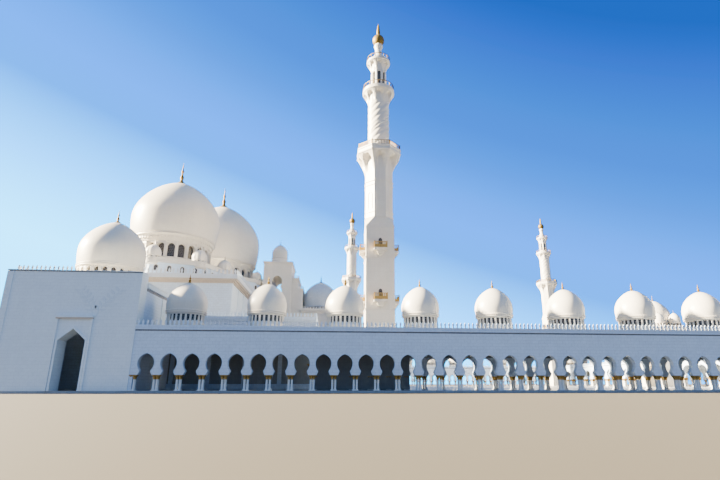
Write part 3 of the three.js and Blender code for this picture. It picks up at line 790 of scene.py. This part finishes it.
def relief_spray():
    """A generic spray in low relief: two bent stems with broad leaves, on a wall that faces local -y"""
    bm = bmesh.new()
    for way, reach in ((1, 3.4), (-1, 2.6)):
        path = [(way * (0.25 + reach * (i / 6) ** 1.3), 4.6 * (i / 6) ** 0.8) for i in range(7)]
        plate(bm, [(x - 0.09, z) for x, z in path] + [(x + 0.09, z) for x, z in reversed(path)], 0.01, -0.03)
        leaf = bmesh.new()
        plate(leaf, [(0.0, 0.1), (0.26, 0.5), (0.2, 1.0), (0.0, 1.35), (-0.2, 1.0), (-0.26, 0.5)],
              0.01, -0.04)
        unit = bpy.data.meshes.new("leaf")
        leaf.to_mesh(unit)
        leaf.free()
        add(bm, unit, [shift(x, 0.0, z) @ Matrix.Rotation(lean + 0.35 * way, 4, "Y")
                       for x, z in path[1:] for lean in (-0.9, 0.9)])
    return merged(bm, "relief_spray")


spray = relief_spray()
relief_stone = stone("relief_stone", (0.76, 0.84, 0.88), (0.73, 0.81, 0.85), (0.64, 0.70, 0.75), joint=0.01)
WEST_EDGE, EAST_EDGE = PAVILION_X - PAVILION_HALF, PAVILION_X + PAVILION_HALF
for name, side, front, door_at in (("south_pavilion", -1, wall_at(WEST_EDGE, -SOUTH, 0), 12.9),
                                   ("north_pavilion", 1, wall_at(EAST_EDGE, SOUTH, 180), 10.5)):
    wide = 2 * PAVILION_HALF
    middle = side * PAVILION_Y
    doorway = front @ shift(door_at)
    bm, dark, soffit = bmesh.new(), bmesh.new(), bmesh.new()
    for xs in ((0.0, 1.1), (wide - 1.1, wide)):
        strip(bm, front, xs, (-0.12, 0.0), (FLOOR, SCREEN_TOP - 0.4))
    strip(bm, front, (0.0, wide), (-0.2, 0.0), (SCREEN_TOP - 0.12, SCREEN_TOP))
    # A dark strip of painted shadow under the screen's top moulding.
    strip(dark, front, (0.0, wide), (-0.1, 0.01), (SCREEN_TOP - 0.28, SCREEN_TOP - 0.12))
    add(bm, rim([(2.3, FLOOR), (2.3, 9.0), (0.0, 11.0)], 0.35, 0.16), [doorway])
    for x in (-1, 1):
        strip(bm, doorway, (2.75 * x, 3.1 * x), (-0.25, 0.0), (FLOOR, 12.7))
    strip(bm, doorway, (-3.2, 3.2), (-0.5, 0.0), (12.95, 13.25))
    # The lintel's underside is painted in warm shade.
    strip(soffit, doorway, (-3.15, 3.15), (-0.4, 0.01), (12.7, 12.95))
    piece(name + "_lintel_soffit", soffit, soffit_painted_shade)
    piece(name + "_relief", copies(spray, [doorway @ shift(-3.1 * side, 0.0, 13.0)]), relief_stone)
    low, high = ys = sorted((side * (SOUTH - SCREEN_THICK), side * HALL_SOUTH))
    for flank, start in ((wall_at(EAST_EDGE, low, 90), side * PILASTER_Y - low),
                         (wall_at(WEST_EDGE, high, -90), high - side * PILASTER_Y)):
        # A dark strip of painted shadow under the side cornice.
        strip(dark, flank, (0.0, high - low), (-0.05, 0.01), (18.4, 18.9))
        bands(bm, flank, (0.0, high - low), [(18.95, 19.25, 0.3), (19.25, 19.85, 0.2), (19.85, 20.0, 0.32)])
        strip(bm, flank, (start - 1.2, start + 1.2), (-0.2, 0.0), (FLOOR, 18.35))
    piece(name + "_trim", bm, screen_marble)
    piece(name + "_painted_shadow_band", dark, grey_inlay)

    bm = bmesh.new()
    well = (PAVILION_X - PAVILION_WELL, PAVILION_X + PAVILION_WELL)
    for xs, span in (((WEST_EDGE + WALL, well[0]), ys), ((well[1], EAST_EDGE - WALL), ys),
                     (well, (low, middle - PAVILION_WELL)), (well, (middle + PAVILION_WELL, high))):
        slab(bm, xs, span, (PAVILION_ROOF - 1, PAVILION_ROOF))
    drum_wall(bm, 6.0, PAVILION_ROOF, 24.3, 0.5, window(0.42, 22.3, 23.5, 24.05), 0.08, 0.06,
              PAVILION_X, middle)
    for foot, head, out in ((21.7, 21.95, 6.15), (24.25, 24.42, 6.12), (24.42, 24.62, 6.3),
                            (24.62, DRUM_RING, 6.2)):
        hoop(bm, 5.4, out, foot, head, 48, PAVILION_X, middle)
    piece(name + "_drum", bm, dome_marble, replaced=[name + "_roof_and_drum"])
    bm = bmesh.new()
    turn(bm, shell(6.15, 6.45, DRUM_RING, 35.0, 0.5, 18), 64, PAVILION_X, middle)
    hoop(bm, 5.8, 6.32, DRUM_RING, DRUM_RING + 0.16, 64, PAVILION_X, middle)
    piece(name + "_shell", bm, dome_marble, replaced=[name + "_dome"])
    bm = bmesh.new()
    hoop(bm, 5.45, 5.55, 22.0, 24.3, DRUM_SIDES, PAVILION_X, middle, math.pi / DRUM_SIDES)
    piece(name + "_windows", bm, dark_glass)
    bm = bmesh.new()
    finial(bm, PAVILION_X, middle, 34.95, 38.0, 0.5)
    piece(name + "_finial", bm, gold, crease=60.0)

# Low tier of the prayer hall.
# Plain marble walls with a stepped cornice and merlons; tall pointed windows with bronze lattices
# fill the back wall between flat pilasters.
HALL_WEST = real("hall_west_wall")[0].x
WEST_WINDOWS = 12
hall_length = HALL_FRONT - HALL_WEST
bm = bmesh.new()
for wall, length in ((wall_at(HALL_WEST, -HALL_SOUTH, 0), hall_length),
                     (wall_at(HALL_FRONT, HALL_SOUTH, 180), hall_length),
                     (wall_at(HALL_WEST, HALL_SOUTH, -90), 2 * HALL_SOUTH)):
    bands(bm, wall, (0.0, length), [(14.6, 14.85, 0.15), (15.1, 15.4, 0.3), (15.4, LOW_TOP, 0.45),
                                    (FLOOR, 1.6, 0.2)])
    crest(bm, wall, length, LOW_TOP)
    pilasters = round(length / 7.8)
    for i in range(pilasters + 1):
        at = min(max(i * length / pilasters, 0.45), length - 0.45)
        strip(bm, wall, (at - 0.45, at + 0.45), (-0.18, 0.0), (1.6, 14.6))
west_wall = wall_at(HALL_WEST, HALL_SOUTH - WALL, -90)
west_pitch = 2 * (HALL_SOUTH - WALL) / WEST_WINDOWS
west_places = along(west_wall, west_pitch / 2, west_pitch, WEST_WINDOWS)
add(bm, rim([(1.5, 4.0), (1.5, 11.0), (0.0, 12.8)], 0.35, 0.2), west_places)
for place in west_places:
    strip(bm, place, (-1.95, 1.95), (-0.3, 0.0), (3.6, 4.0))
piece("hall_low_trim", bm, wall_marble)
lattice_glass = glazing("lattice_glass", (0.04, 0.037, 0.035), (0.14, 0.12, 0.09), 0.75)
bm = bmesh.new()
for place in west_places:
    strip(bm, place, (-1.55, 1.55), (0.45, 0.55), (3.9, 12.85))
piece("hall_west_windows", bm, lattice_glass)

# High block of the prayer hall, which carries the three great domes.
# Smooth marble walls under a pale band that stands out on stepped mouldings painted in warm shade,
# as if lit by light bounced off sunlit roofs, with a row of merlons at its edge.
block_low, block_high = real("block_walls")
BLOCK_TOP = block_high.z
BAND_FOOT = 28.3
SOFFIT_FOOT = 27.2
block_plan = ((block_low.x, block_high.x), (block_low.y, block_high.y))
block_edge = ((block_low.x - 1.3, block_high.x + 1.3), (block_low.y - 1.3, block_high.y + 1.3))
band_marble = stone("band_marble", (0.70, 0.74, 0.78), (0.67, 0.71, 0.75), (0.55, 0.58, 0.62), joint=0.01)
bm = bmesh.new()
cornice(bm, *block_plan, [(BAND_FOOT, BLOCK_TOP, 1.4)])
crown(bm, *block_edge, BLOCK_TOP, 1.45, 1.05)
piece("high_block_band", bm, band_marble)
bm = bmesh.new()
# The stepped mouldings under the band are painted in warm shade.
cornice(bm, *block_plan, [(SOFFIT_FOOT, 27.5, 0.3), (27.5, 27.85, 0.65), (27.85, BAND_FOOT, 1.15)])
piece("high_block_soffit", bm, soffit_painted_shade)
bm = bmesh.new()
wall_rise = (LOW_TOP - 1.0, SOFFIT_FOOT)
length = block_high.y - block_low.y
for wall in (wall_at(block_high.x, block_low.y, 90), wall_at(block_low.x, block_high.y, -90)):
    for i in range(19):
        at = 0.6 + i * (length - 1.2) / 18
        strip(bm, wall, (at - 0.5, at + 0.5), (-0.15, 0.0), wall_rise)
length = block_high.x - block_low.x
for wall in (wall_at(block_low.x, block_low.y, 0), wall_at(block_high.x, block_high.y, 180)):
    for xs in ((0.0, 1.2), (length - 1.2, length)):
        strip(bm, wall, xs, (-0.12, 0.0), wall_rise)
piece("high_block_trim", bm, wall_marble)

# The three great domes and their octagon bases.
# Each dome is a marble shell over a tall drum with twenty-four arched windows between slender
# columns; a kiosk with a ribbed dome stands on each corner of the octagon round its foot.
GREAT_X = -92.9
DRUM_FOOT = 27.4


def ribbed(bm, first, x, y, ribs, depth):
    """Draws the newest part of a round body into upright ribs"""
    bm.verts.ensure_lookup_table()
    for vert in bm.verts[first:]:
        away = Vector((vert.co.x - x, vert.co.y - y, 0.0))
        if away.length > 0.05:
            vert.co += away * depth * math.cos(ribs * math.atan2(away.y, away.x))


def kiosk(stones, glass, golds, x, y, shelf):
    """A small round kiosk on a moulded foot: a drum with small dark slots, a ribbed dome and a gilt tip"""
    foot = [(0, -1.2), (1.0, -1.2), (1.75, -0.9), (2.1, -0.5), (2.15, 0.75), (1.95, 0.8), (1.8, 0.85),
            (1.8, 1.4), (1.95, 1.42), (2.1, 1.55), (2.1, 1.72), (0.0, 1.72)]
    turn(stones, [(radius, shelf + z) for radius, z in foot], 24, x, y)
    disc(glass, 1.86, shelf + 0.84, shelf + 1.41, 12, x, y)
    add(stones, column(0.58, 0.22, 6), ring_of(12, 1.86, x, y, shelf + 0.84))
    first = len(stones.verts)
    turn(stones, onion(1.95, 2.05, shelf + 1.7, shelf + 4.9, 8, 0.3), 48, x, y)
    ribbed(stones, first, x, y, 12, 0.03)
    finial(golds, x, y, shelf + 4.85, shelf + 6.1, 0.2, 8)


def great_dome(name, y, drum, base, belly, ring, tip, end, light, corner, phase, shelf, rows):
    """A great dome with its drum, and the octagon with its rows of small windows and its kiosks"""
    sill, neck = ring - 7.2, ring - 2.4
    bm = bmesh.new()
    drum_wall(bm, drum, DRUM_FOOT, neck, WALL, window(light, sill, ring - 4.1, ring - 3.0), 0.16, 0.14,
              GREAT_X, y)
    inner = drum - WALL - 0.1
    flare = [(inner, neck), (drum + 0.1, neck), (drum + 0.25, neck + 0.3), (drum + 0.15, neck + 0.35),
             (drum + 0.45, neck + 1.2), (base - 0.2, neck + 1.75), (base + 0.12, neck + 1.85),
             (base + 0.12, neck + 2.1), (base - 0.1, neck + 2.15), (base - 0.1, neck + 2.3),
             (base + 0.05, ring), (inner, ring), (inner, neck)]
    turn(bm, flare, 96, GREAT_X, y)
    for low, high, out in ((sill - 0.9, sill - 0.55, 0.55), (sill - 0.55, sill - 0.35, 0.3),
                           (shelf - 0.1, shelf + 0.7, 0.35)):
        hoop(bm, drum - 0.3, drum + out, low, high, 72, GREAT_X, y)
    shafts = ring_of(DRUM_SIDES, drum + 0.12, GREAT_X, y, sill - 0.35, math.pi / DRUM_SIDES)
    add(bm, column(neck - sill - 0.1, 0.2, 8), shafts)
    add(bm, capital(0.18, 0.6, 6), [spot @ shift(z=neck - sill - 0.35) for spot in shafts])
    eaves = ring_of(72, drum + 0.42, GREAT_X, y, neck + 1.75)
    add(bm, merlon(1.15, 0.5, 0.3), [spot @ Matrix.Rotation(math.pi, 4, "X") for spot in eaves])
    piece(name + "_great_drum", bm, dome_marble, replaced=[name + "_drum"])
    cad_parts[name + "_drum_glass"].material_slots[0].material = dark_glass

    bm, golds = bmesh.new(), bmesh.new()
    turn(bm, shell(base - 0.02, belly, ring, tip, 0.8, 30), 96, GREAT_X, y)
    piece(name + "_great_dome", bm, dome_marble, replaced=[name + "_dome"])
    finial(golds, GREAT_X, y, tip - 0.1, end, 0.08 * belly, 20)

    stones, glass = bmesh.new(), bmesh.new()
    for low, high, out in ((DRUM_FOOT, 28.2, 0.3), (shelf - 0.2, shelf + 0.1, 0.45),
                           (shelf + 0.1, shelf + 0.95, 0.3), (shelf + 0.95, shelf + 1.1, 0.42)):
        hoop(stones, corner - 1.5, corner + out, low, high, 8, GREAT_X, y, phase)
    side = 2 * corner * math.sin(math.pi / 8)
    for level in rows:
        opening = window(0.5, level - 0.8, level + 0.4, level + 0.85)
        for flat in ring_of(8, corner * math.cos(math.pi / 8), GREAT_X, y, 0.0, phase + math.pi / 8):
            spots = along(flat, -side / 2 + side / 8, side / 4, 4)
            add(stones, rim(opening, 0.12, 0.1), spots)
            pane = bmesh.new()
            plate(pane, both_sides(opening), 0.02, -0.06)
            add(glass, merged(pane, "pane"), spots)
    reach = corner - 1.7
    for angle in (phase + i * math.pi / 4 for i in range(8)):
        kiosk(stones, glass, golds, GREAT_X + reach * math.cos(angle), y + reach * math.sin(angle), shelf)
    piece(name + "_kiosks", stones, dome_marble)
    piece(name + "_kiosk_slots", glass, dark_glass)
    piece(name + "_finials", golds, gold, crease=60.0)


side_dome = dict(drum=10.9, base=12.0, belly=12.75, ring=43.4, tip=62.8, end=70.3, light=1.0, corner=17.4,
                 phase=0.0, shelf=33.3, rows=[33.3 - 1.8])
great_dome("south", -58.6, **side_dome)
great_dome("north", 58.6, **side_dome)
great_dome("central", 0.0, drum=14.2, base=15.6, belly=16.5, ring=50.2, tip=76.7, end=86.0, light=1.25,
           corner=20.8, phase=math.pi / 8, shelf=41.3, rows=[41.3 - 2.2, 41.3 - 7.2])

# Portal on the middle line of the hall's court front.
# A tall tower with a keyhole opening through its sides and a small dome, two lower steps before
# it, and a porch with a great arch that carries a dome greyed as painted shade.
TOWER_WEST, TOWER_EAST, TOWER_TOP = -72.4, -60.9, 50.3
TOWER_HALF = real("portal_tower")[1].y
TOWER_WAIST = 35.1
STEP_HALF = 7.5
HIDDEN_FOOT = 15.0  # below the low roof, which hides it
PORCH_TOP = 31.0
porch_low, porch_high = real("portal_porch")
bm, glass, golds = bmesh.new(), bmesh.new(), bmesh.new()
slab(bm, (block_high.x, TOWER_EAST), (-TOWER_HALF, TOWER_HALF), (HIDDEN_FOOT, TOWER_WAIST))
slab(bm, (TOWER_WEST, block_high.x), (-TOWER_HALF, TOWER_HALF), (BLOCK_TOP, TOWER_WAIST))
tower_arch = keyhole(1.45, 1.45, TOWER_WAIST, jambs=True)
tower_middle = (TOWER_WEST + TOWER_EAST) / 2
tower_faces = [wall_at(tower_middle, -TOWER_HALF, 0), wall_at(tower_middle, TOWER_HALF, 180)]
add(bm, bay(tower_arch, TOWER_EAST - TOWER_WEST, TOWER_TOP, 2 * TOWER_HALF), tower_faces[:1])
add(bm, rim(tower_arch, 0.35, 0.2), tower_faces)
cornice(bm, (TOWER_WEST, TOWER_EAST), (-TOWER_HALF, TOWER_HALF),
        [(34.5, TOWER_WAIST, 0.15), (49.3, 49.6, 0.15), (49.75, TOWER_TOP, 0.35)])
for west, east, top in ((TOWER_EAST, -58.0, 43.8), (-58.0, -56.1, 39.4)):
    slab(bm, (west, east), (-STEP_HALF, STEP_HALF), (HIDDEN_FOOT, top))
    for wall, length in ((wall_at(west, -STEP_HALF, 0), east - west),
                         (wall_at(east, STEP_HALF, 180), east - west),
                         (wall_at(east, -STEP_HALF, 90), 2 * STEP_HALF)):
        bands(bm, wall, (0.0, length), [(top - 0.9, top, 0.3), (top - 1.5, top - 1.1, 0.15)])
        crest(bm, wall, length, top, 1.1)
turn(bm, [(0, TOWER_TOP - 0.2), (3.45, TOWER_TOP - 0.2), (3.45, 52.7), (3.3, 52.85), (3.3, 53.5),
          (3.5, 53.6), (3.5, 53.9)] + onion(3.22, 3.37, 54.0, 60.0), 40, tower_middle - 0.4, 0.0)
finial(golds, tower_middle - 0.4, 0.0, 59.8, 62.3, 0.3)
piece("portal_tower_stone", bm, dome_marble, replaced=["portal_tower"])

bm = bmesh.new()
porch_front = [wall_at(porch_high.x, 0.0, 90)]
porch_arch = keyhole(3.0, 3.2, jambs=True)
porch_plan = ((porch_low.x, porch_high.x), (-PORCH_HALF, PORCH_HALF))
add(bm, bay(porch_arch, 2 * PORCH_HALF, PORCH_TOP, porch_high.x - porch_low.x), porch_front)
add(bm, rim(porch_arch, 0.55, 0.3), porch_front)
cornice(bm, *porch_plan, [(28.2, 28.6, 0.2), (29.4, 29.8, 0.35), (29.8, 30.2, 0.6), (30.2, PORCH_TOP, 0.85)])
crown(bm, *porch_plan, PORCH_TOP, 1.2, 0.8)
piece("portal_porch_stone", bm, dome_marble, replaced=["portal_porch"])
# The porch dome's marble is greyed as painted shade, for the shadow the hall casts on it.
painted_shade_dome_marble = stone("painted_shade_dome_marble", (0.60, 0.63, 0.66), (0.54, 0.57, 0.60), (0.42, 0.44, 0.47),
                    joint=0.01, roughness=0.4)
bm = bmesh.new()
drum_and_dome(bm, glass, golds, (porch_low.x + porch_high.x) / 2, 0.0, 7.2, PORCH_TOP, 32.4, 43.6, 46.6, 32)
piece("portal_porch_dome", bm, painted_shade_dome_marble)
piece("portal_slots", glass, dark_glass)
piece("portal_finials", golds, gold, crease=60.0)

# Four minarets at the corners of the court.
# A square marble shaft with gilt balconies turns into an octagon, then a round column with winding
# ribs, then a lantern; each carries a gallery with a bronze railing on a flare of eight niches.
SHAFT = 3.65
SQUARE_TOP = 41.0
DECKS = (21.55, 34.8)
LOW_GALLERY, MIDDLE_GALLERY, HIGH_GALLERY = 63.4, 83.1, 93.0
EIGHTH = math.pi / 8
OCTAGON = 1 / math.cos(EIGHTH)


def octagon(bm, profile):
    """A closed body with eight flat sides, from (distance to a side, height) points"""
    turn(bm, [(radius * OCTAGON, z) for radius, z in profile], 8, phase=EIGHTH)


def bowl(bm, low, high, start, end, flat, depth=0.85):
    """A flare like a bowl with eight arched niches sunk back to the shaft; flat gives it eight sides"""
    first = len(bm.verts)
    steps = 14
    rise = high - low
    profile = [(start + (end - start) * (i / steps) ** 1.5, low + rise * i / steps)
               for i in range(steps + 1)]
    turn(bm, [(0, low)] + profile + [(0, high)], 96)
    bm.verts.ensure_lookup_table()
    for vert in bm.verts[first:]:
        away = Vector((vert.co.x, vert.co.y, 0.0))
        if away.length < 0.1:
            continue
        turned = (math.atan2(away.y, away.x) + EIGHTH) % (math.pi / 4) - EIGHTH
        height = (vert.co.z - low) / rise
        reach = 0.74 if height < 0.6 else 0.74 * math.sqrt(max(0.0, 1 - ((height - 0.6) / 0.3) ** 2))
        sunk = min(1.0, max(0.0, (reach - abs(turned) / EIGHTH) / 0.12)) if height < 0.9 else 0.0
        radius = away.length - depth * sunk * (away.length - start)
        vert.co += away.normalized() * (radius * (1 + flat * (1 / math.cos(turned) - 1)) - away.length)


def bracket(wide, tall, out):
    """A corbel that grows outwards and wider as it rises"""
    bm = bmesh.new()
    for share, grown in ((0.0, 0.3), (0.25, 0.55), (0.5, 0.8), (0.75, 1.0)):
        slab(bm, (-grown * wide / 2, grown * wide / 2), (-grown * out, 0.05),
             (share * tall, (share + 0.26) * tall))
    return merged(bm, "bracket")


def railing(length, tall, step, panel=0.0):
    """A straight railing from x = 0, with a post at each end, thin bars and a thin solid panel behind them
    """
    bm = bmesh.new()
    slab(bm, (0.0, length), (-0.06, 0.06), (tall - 0.14, tall))
    slab(bm, (0.0, length), (-0.05, 0.05), (0.06, 0.18))
    for x in (0.08, length - 0.08):
        slab(bm, (x - 0.09, x + 0.09), (-0.1, 0.1), (0.0, tall + 0.12))
    bars = max(3, round(length / step))
    for i in range(1, bars):
        slab(bm, (i * length / bars - 0.08, i * length / bars + 0.08), (-0.05, 0.05), (0.1, tall - 0.1))
    if panel:
        slab(bm, (0.0, length), (-0.02, 0.02), (0.18, panel * tall))
    return merged(bm, "railing")


def round_railing(bm, radius, foot, tall, count):
    """Posts in a ring with a rail on them"""
    add(bm, column(tall, 0.13, 5), ring_of(count, radius, z=foot))
    hoop(bm, radius - 0.09, radius + 0.09, foot + tall - 0.12, foot + tall, 32)


def twisted(bm, radius, deep, ribs, low, high, twist, steps):
    """A column whose ribs wind round it: a scalloped ring drawn upwards and turned a little at each step"""
    ring = bmesh.ops.create_circle(bm, cap_ends=True, radius=radius, segments=6 * ribs)["verts"]
    for i, vert in enumerate(ring):
        vert.co *= 1 - deep / radius * (1 - abs(math.sin(math.pi * i / 6)))
    bmesh.ops.translate(bm, vec=(0.0, 0.0, low), verts=ring)
    face = ring[0].link_faces[0]
    for step in range(steps):
        grown = bmesh.ops.extrude_face_region(bm, geom=[face], use_keep_orig=step == 0)["geom"]
        face = [item for item in grown if isinstance(item, bmesh.types.BMFace)][0]
        verts = [item for item in grown if isinstance(item, bmesh.types.BMVert)]
        bmesh.ops.translate(bm, vec=(0.0, 0.0, (high - low) / steps), verts=verts)
        bmesh.ops.rotate(bm, cent=(0, 0, 0), matrix=Matrix.Rotation(twist / steps, 3, "Z"), verts=verts)


stones, glass, golds, rails, grilles = (bmesh.new() for _ in range(5))
slab(stones, (-SHAFT, SHAFT), (-SHAFT, SHAFT), (FLOOR, SQUARE_TOP))
broach = [stones.verts.new((x, y, SQUARE_TOP)) for x in (-SHAFT, SHAFT) for y in (-SHAFT, SHAFT)]
broach += [stones.verts.new((SHAFT * OCTAGON * math.cos(a), SHAFT * OCTAGON * math.sin(a), 43.5))
           for a in (EIGHTH + i * math.pi / 4 for i in range(8))]
bmesh.ops.convex_hull(stones, input=broach)
cornice(stones, (-SHAFT, SHAFT), (-SHAFT, SHAFT),
        [(FLOOR, 2.2, 0.35), (2.2, 2.6, 0.18), (12.6, 12.9, 0.12), (19.2, 19.5, 0.14), (32.4, 32.7, 0.14),
         (40.5, 40.8, 0.1)])
octagon(stones, [(0, 43.4), (SHAFT, 43.4), (SHAFT, 56.6), (0, 56.6)])
for low, high, out in ((43.5, 43.8, 0.14), (44.9, 45.2, 0.14), (52.6, 52.85, 0.14), (53.7, 54.0, 0.16)):
    octagon(stones, [(0, low), (SHAFT + out, low), (SHAFT + out, high), (0, high)])
add(stones, rim(window(0.6, 45.9, 49.6, 50.6), 0.16, 0.1), ring_of(8, SHAFT))
bowl(stones, 56.5, 61.9, SHAFT, 5.75, 1.0)
octagon(stones, [(0, 61.85), (5.8, 61.85), (5.92, 62.05), (5.92, 62.3), (5.8, 62.4), (5.8, 62.95),
                 (5.92, 63.1), (5.92, LOW_GALLERY), (0, LOW_GALLERY)])
side = 2 * 5.6 * math.tan(EIGHTH)
add(rails, railing(side, 1.35, 0.42), [spot @ shift(-side / 2) for spot in ring_of(8, 5.65, z=LOW_GALLERY)])
turn(stones, [(0, 63.3), (3.2, 63.3), (3.2, 64.3), (3.0, 64.5), (0, 64.5)], 32)
twisted(stones, 3.03, 0.16, 8, 64.4, 78.4, math.radians(318), 48)
bowl(stones, 78.2, 82.0, 2.95, 4.4, 0.0)
turn(stones, [(0, 81.95), (4.45, 81.95), (4.58, 82.15), (4.58, 82.45), (4.45, 82.55), (4.5, 82.95),
              (4.5, MIDDLE_GALLERY), (0, MIDDLE_GALLERY)], 48)
round_railing(rails, 4.35, MIDDLE_GALLERY, 1.3, 22)
turn(stones, [(0, 83.0), (2.3, 83.0), (2.3, 84.4), (1.95, 84.5), (0, 84.5)], 32)
disc(glass, 1.75, 84.4, 89.6, 24)
add(stones, column(5.0, 0.36, 10), ring_of(8, 1.95, z=84.4, phase=EIGHTH))
add(stones, bay(window(0.52, 88.0, 88.4, 89.1), 1.72, 89.6, 0.35), ring_of(8, 2.08))
bowl(stones, 89.4, 92.3, 2.15, 3.3, 0.0, 0.7)
turn(stones, [(0, 92.25), (3.35, 92.25), (3.45, 92.4), (3.45, 92.7), (3.35, 92.8), (3.4, HIGH_GALLERY),
              (0, HIGH_GALLERY)], 40)
round_railing(rails, 3.25, HIGH_GALLERY, 1.25, 16)
turn(stones, [(0, 92.9), (1.9, 92.9), (1.85, 94.2), (1.5, 95.0), (1.1, 95.8), (0.98, 96.8), (0.96, 97.6),
              (1.2, 98.1), (1.34, 98.6), (1.2, 99.1), (1.0, 99.3), (0, 99.3)], 24)
turn(golds, [(0, 99.2), (0.95, 99.2), (1.35, 99.6), (1.68, 100.2), (1.76, 100.8), (1.68, 101.4),
             (1.35, 102.0), (0.9, 102.4), (0.52, 102.8), (0.5, 103.2), (0.56, 103.5), (0.44, 104.6),
             (0.3, 106.0), (0.0, 107.0)], 24)
for quarter in range(4):
    facing = Matrix.Rotation(quarter * math.pi / 2, 4, "Z") @ shift(y=-SHAFT)
    for deck in DECKS:
        strip(stones, facing, (-1.7, 1.7), (-1.4, 0.05), (deck - 0.55, deck))
        add(stones, bracket(1.9, 1.5, 1.1), [facing @ shift(z=deck - 2.05)])
        door = window(0.5, deck, deck + 2.2, deck + 2.9)
        add(stones, rim(door, 0.18, 0.12), [facing])
        pane = bmesh.new()
        plate(pane, both_sides(door), 0.02, -0.04)
        add(glass, merged(pane, "pane"), [facing])
        add(grilles, railing(3.3, 1.6, 0.4, 0.5), [facing @ shift(-1.65, -1.34, deck)])
        add(grilles, railing(1.3, 1.6, 0.4, 0.5),
            [facing @ shift(x, 0.0, deck) @ Matrix.Rotation(-math.pi / 2, 4, "Z") for x in (-1.6, 1.6)])
minaret_parts = [(part, merged(bm, part), paint, slot, crease) for part, bm, paint, slot, crease in (
    ("stone", stones, dome_marble, "marble", 32.0), ("slots", glass, dark_glass, "dark_glass", 32.0),
    ("gold", golds, gold, "gilding", 50.0), ("rails", rails, bronze, "gilding", 50.0),
    ("balconies", grilles, gold_brightened_for_shade, "gilding", 50.0))]
for name, x, y in (("south_west", -32.2, -84.2), ("north_west", -32.2, 84.2),
                   ("south_east", 92.0, -84.2), ("north_east", 92.0, 84.2)):
    for part, unit, paint, slot, crease in minaret_parts:
        piece(f"minaret_{name}_{part}", copies(unit, [shift(x, y)]), paint,
              [f"minaret_{name}"] if part == "stone" else (), crease)
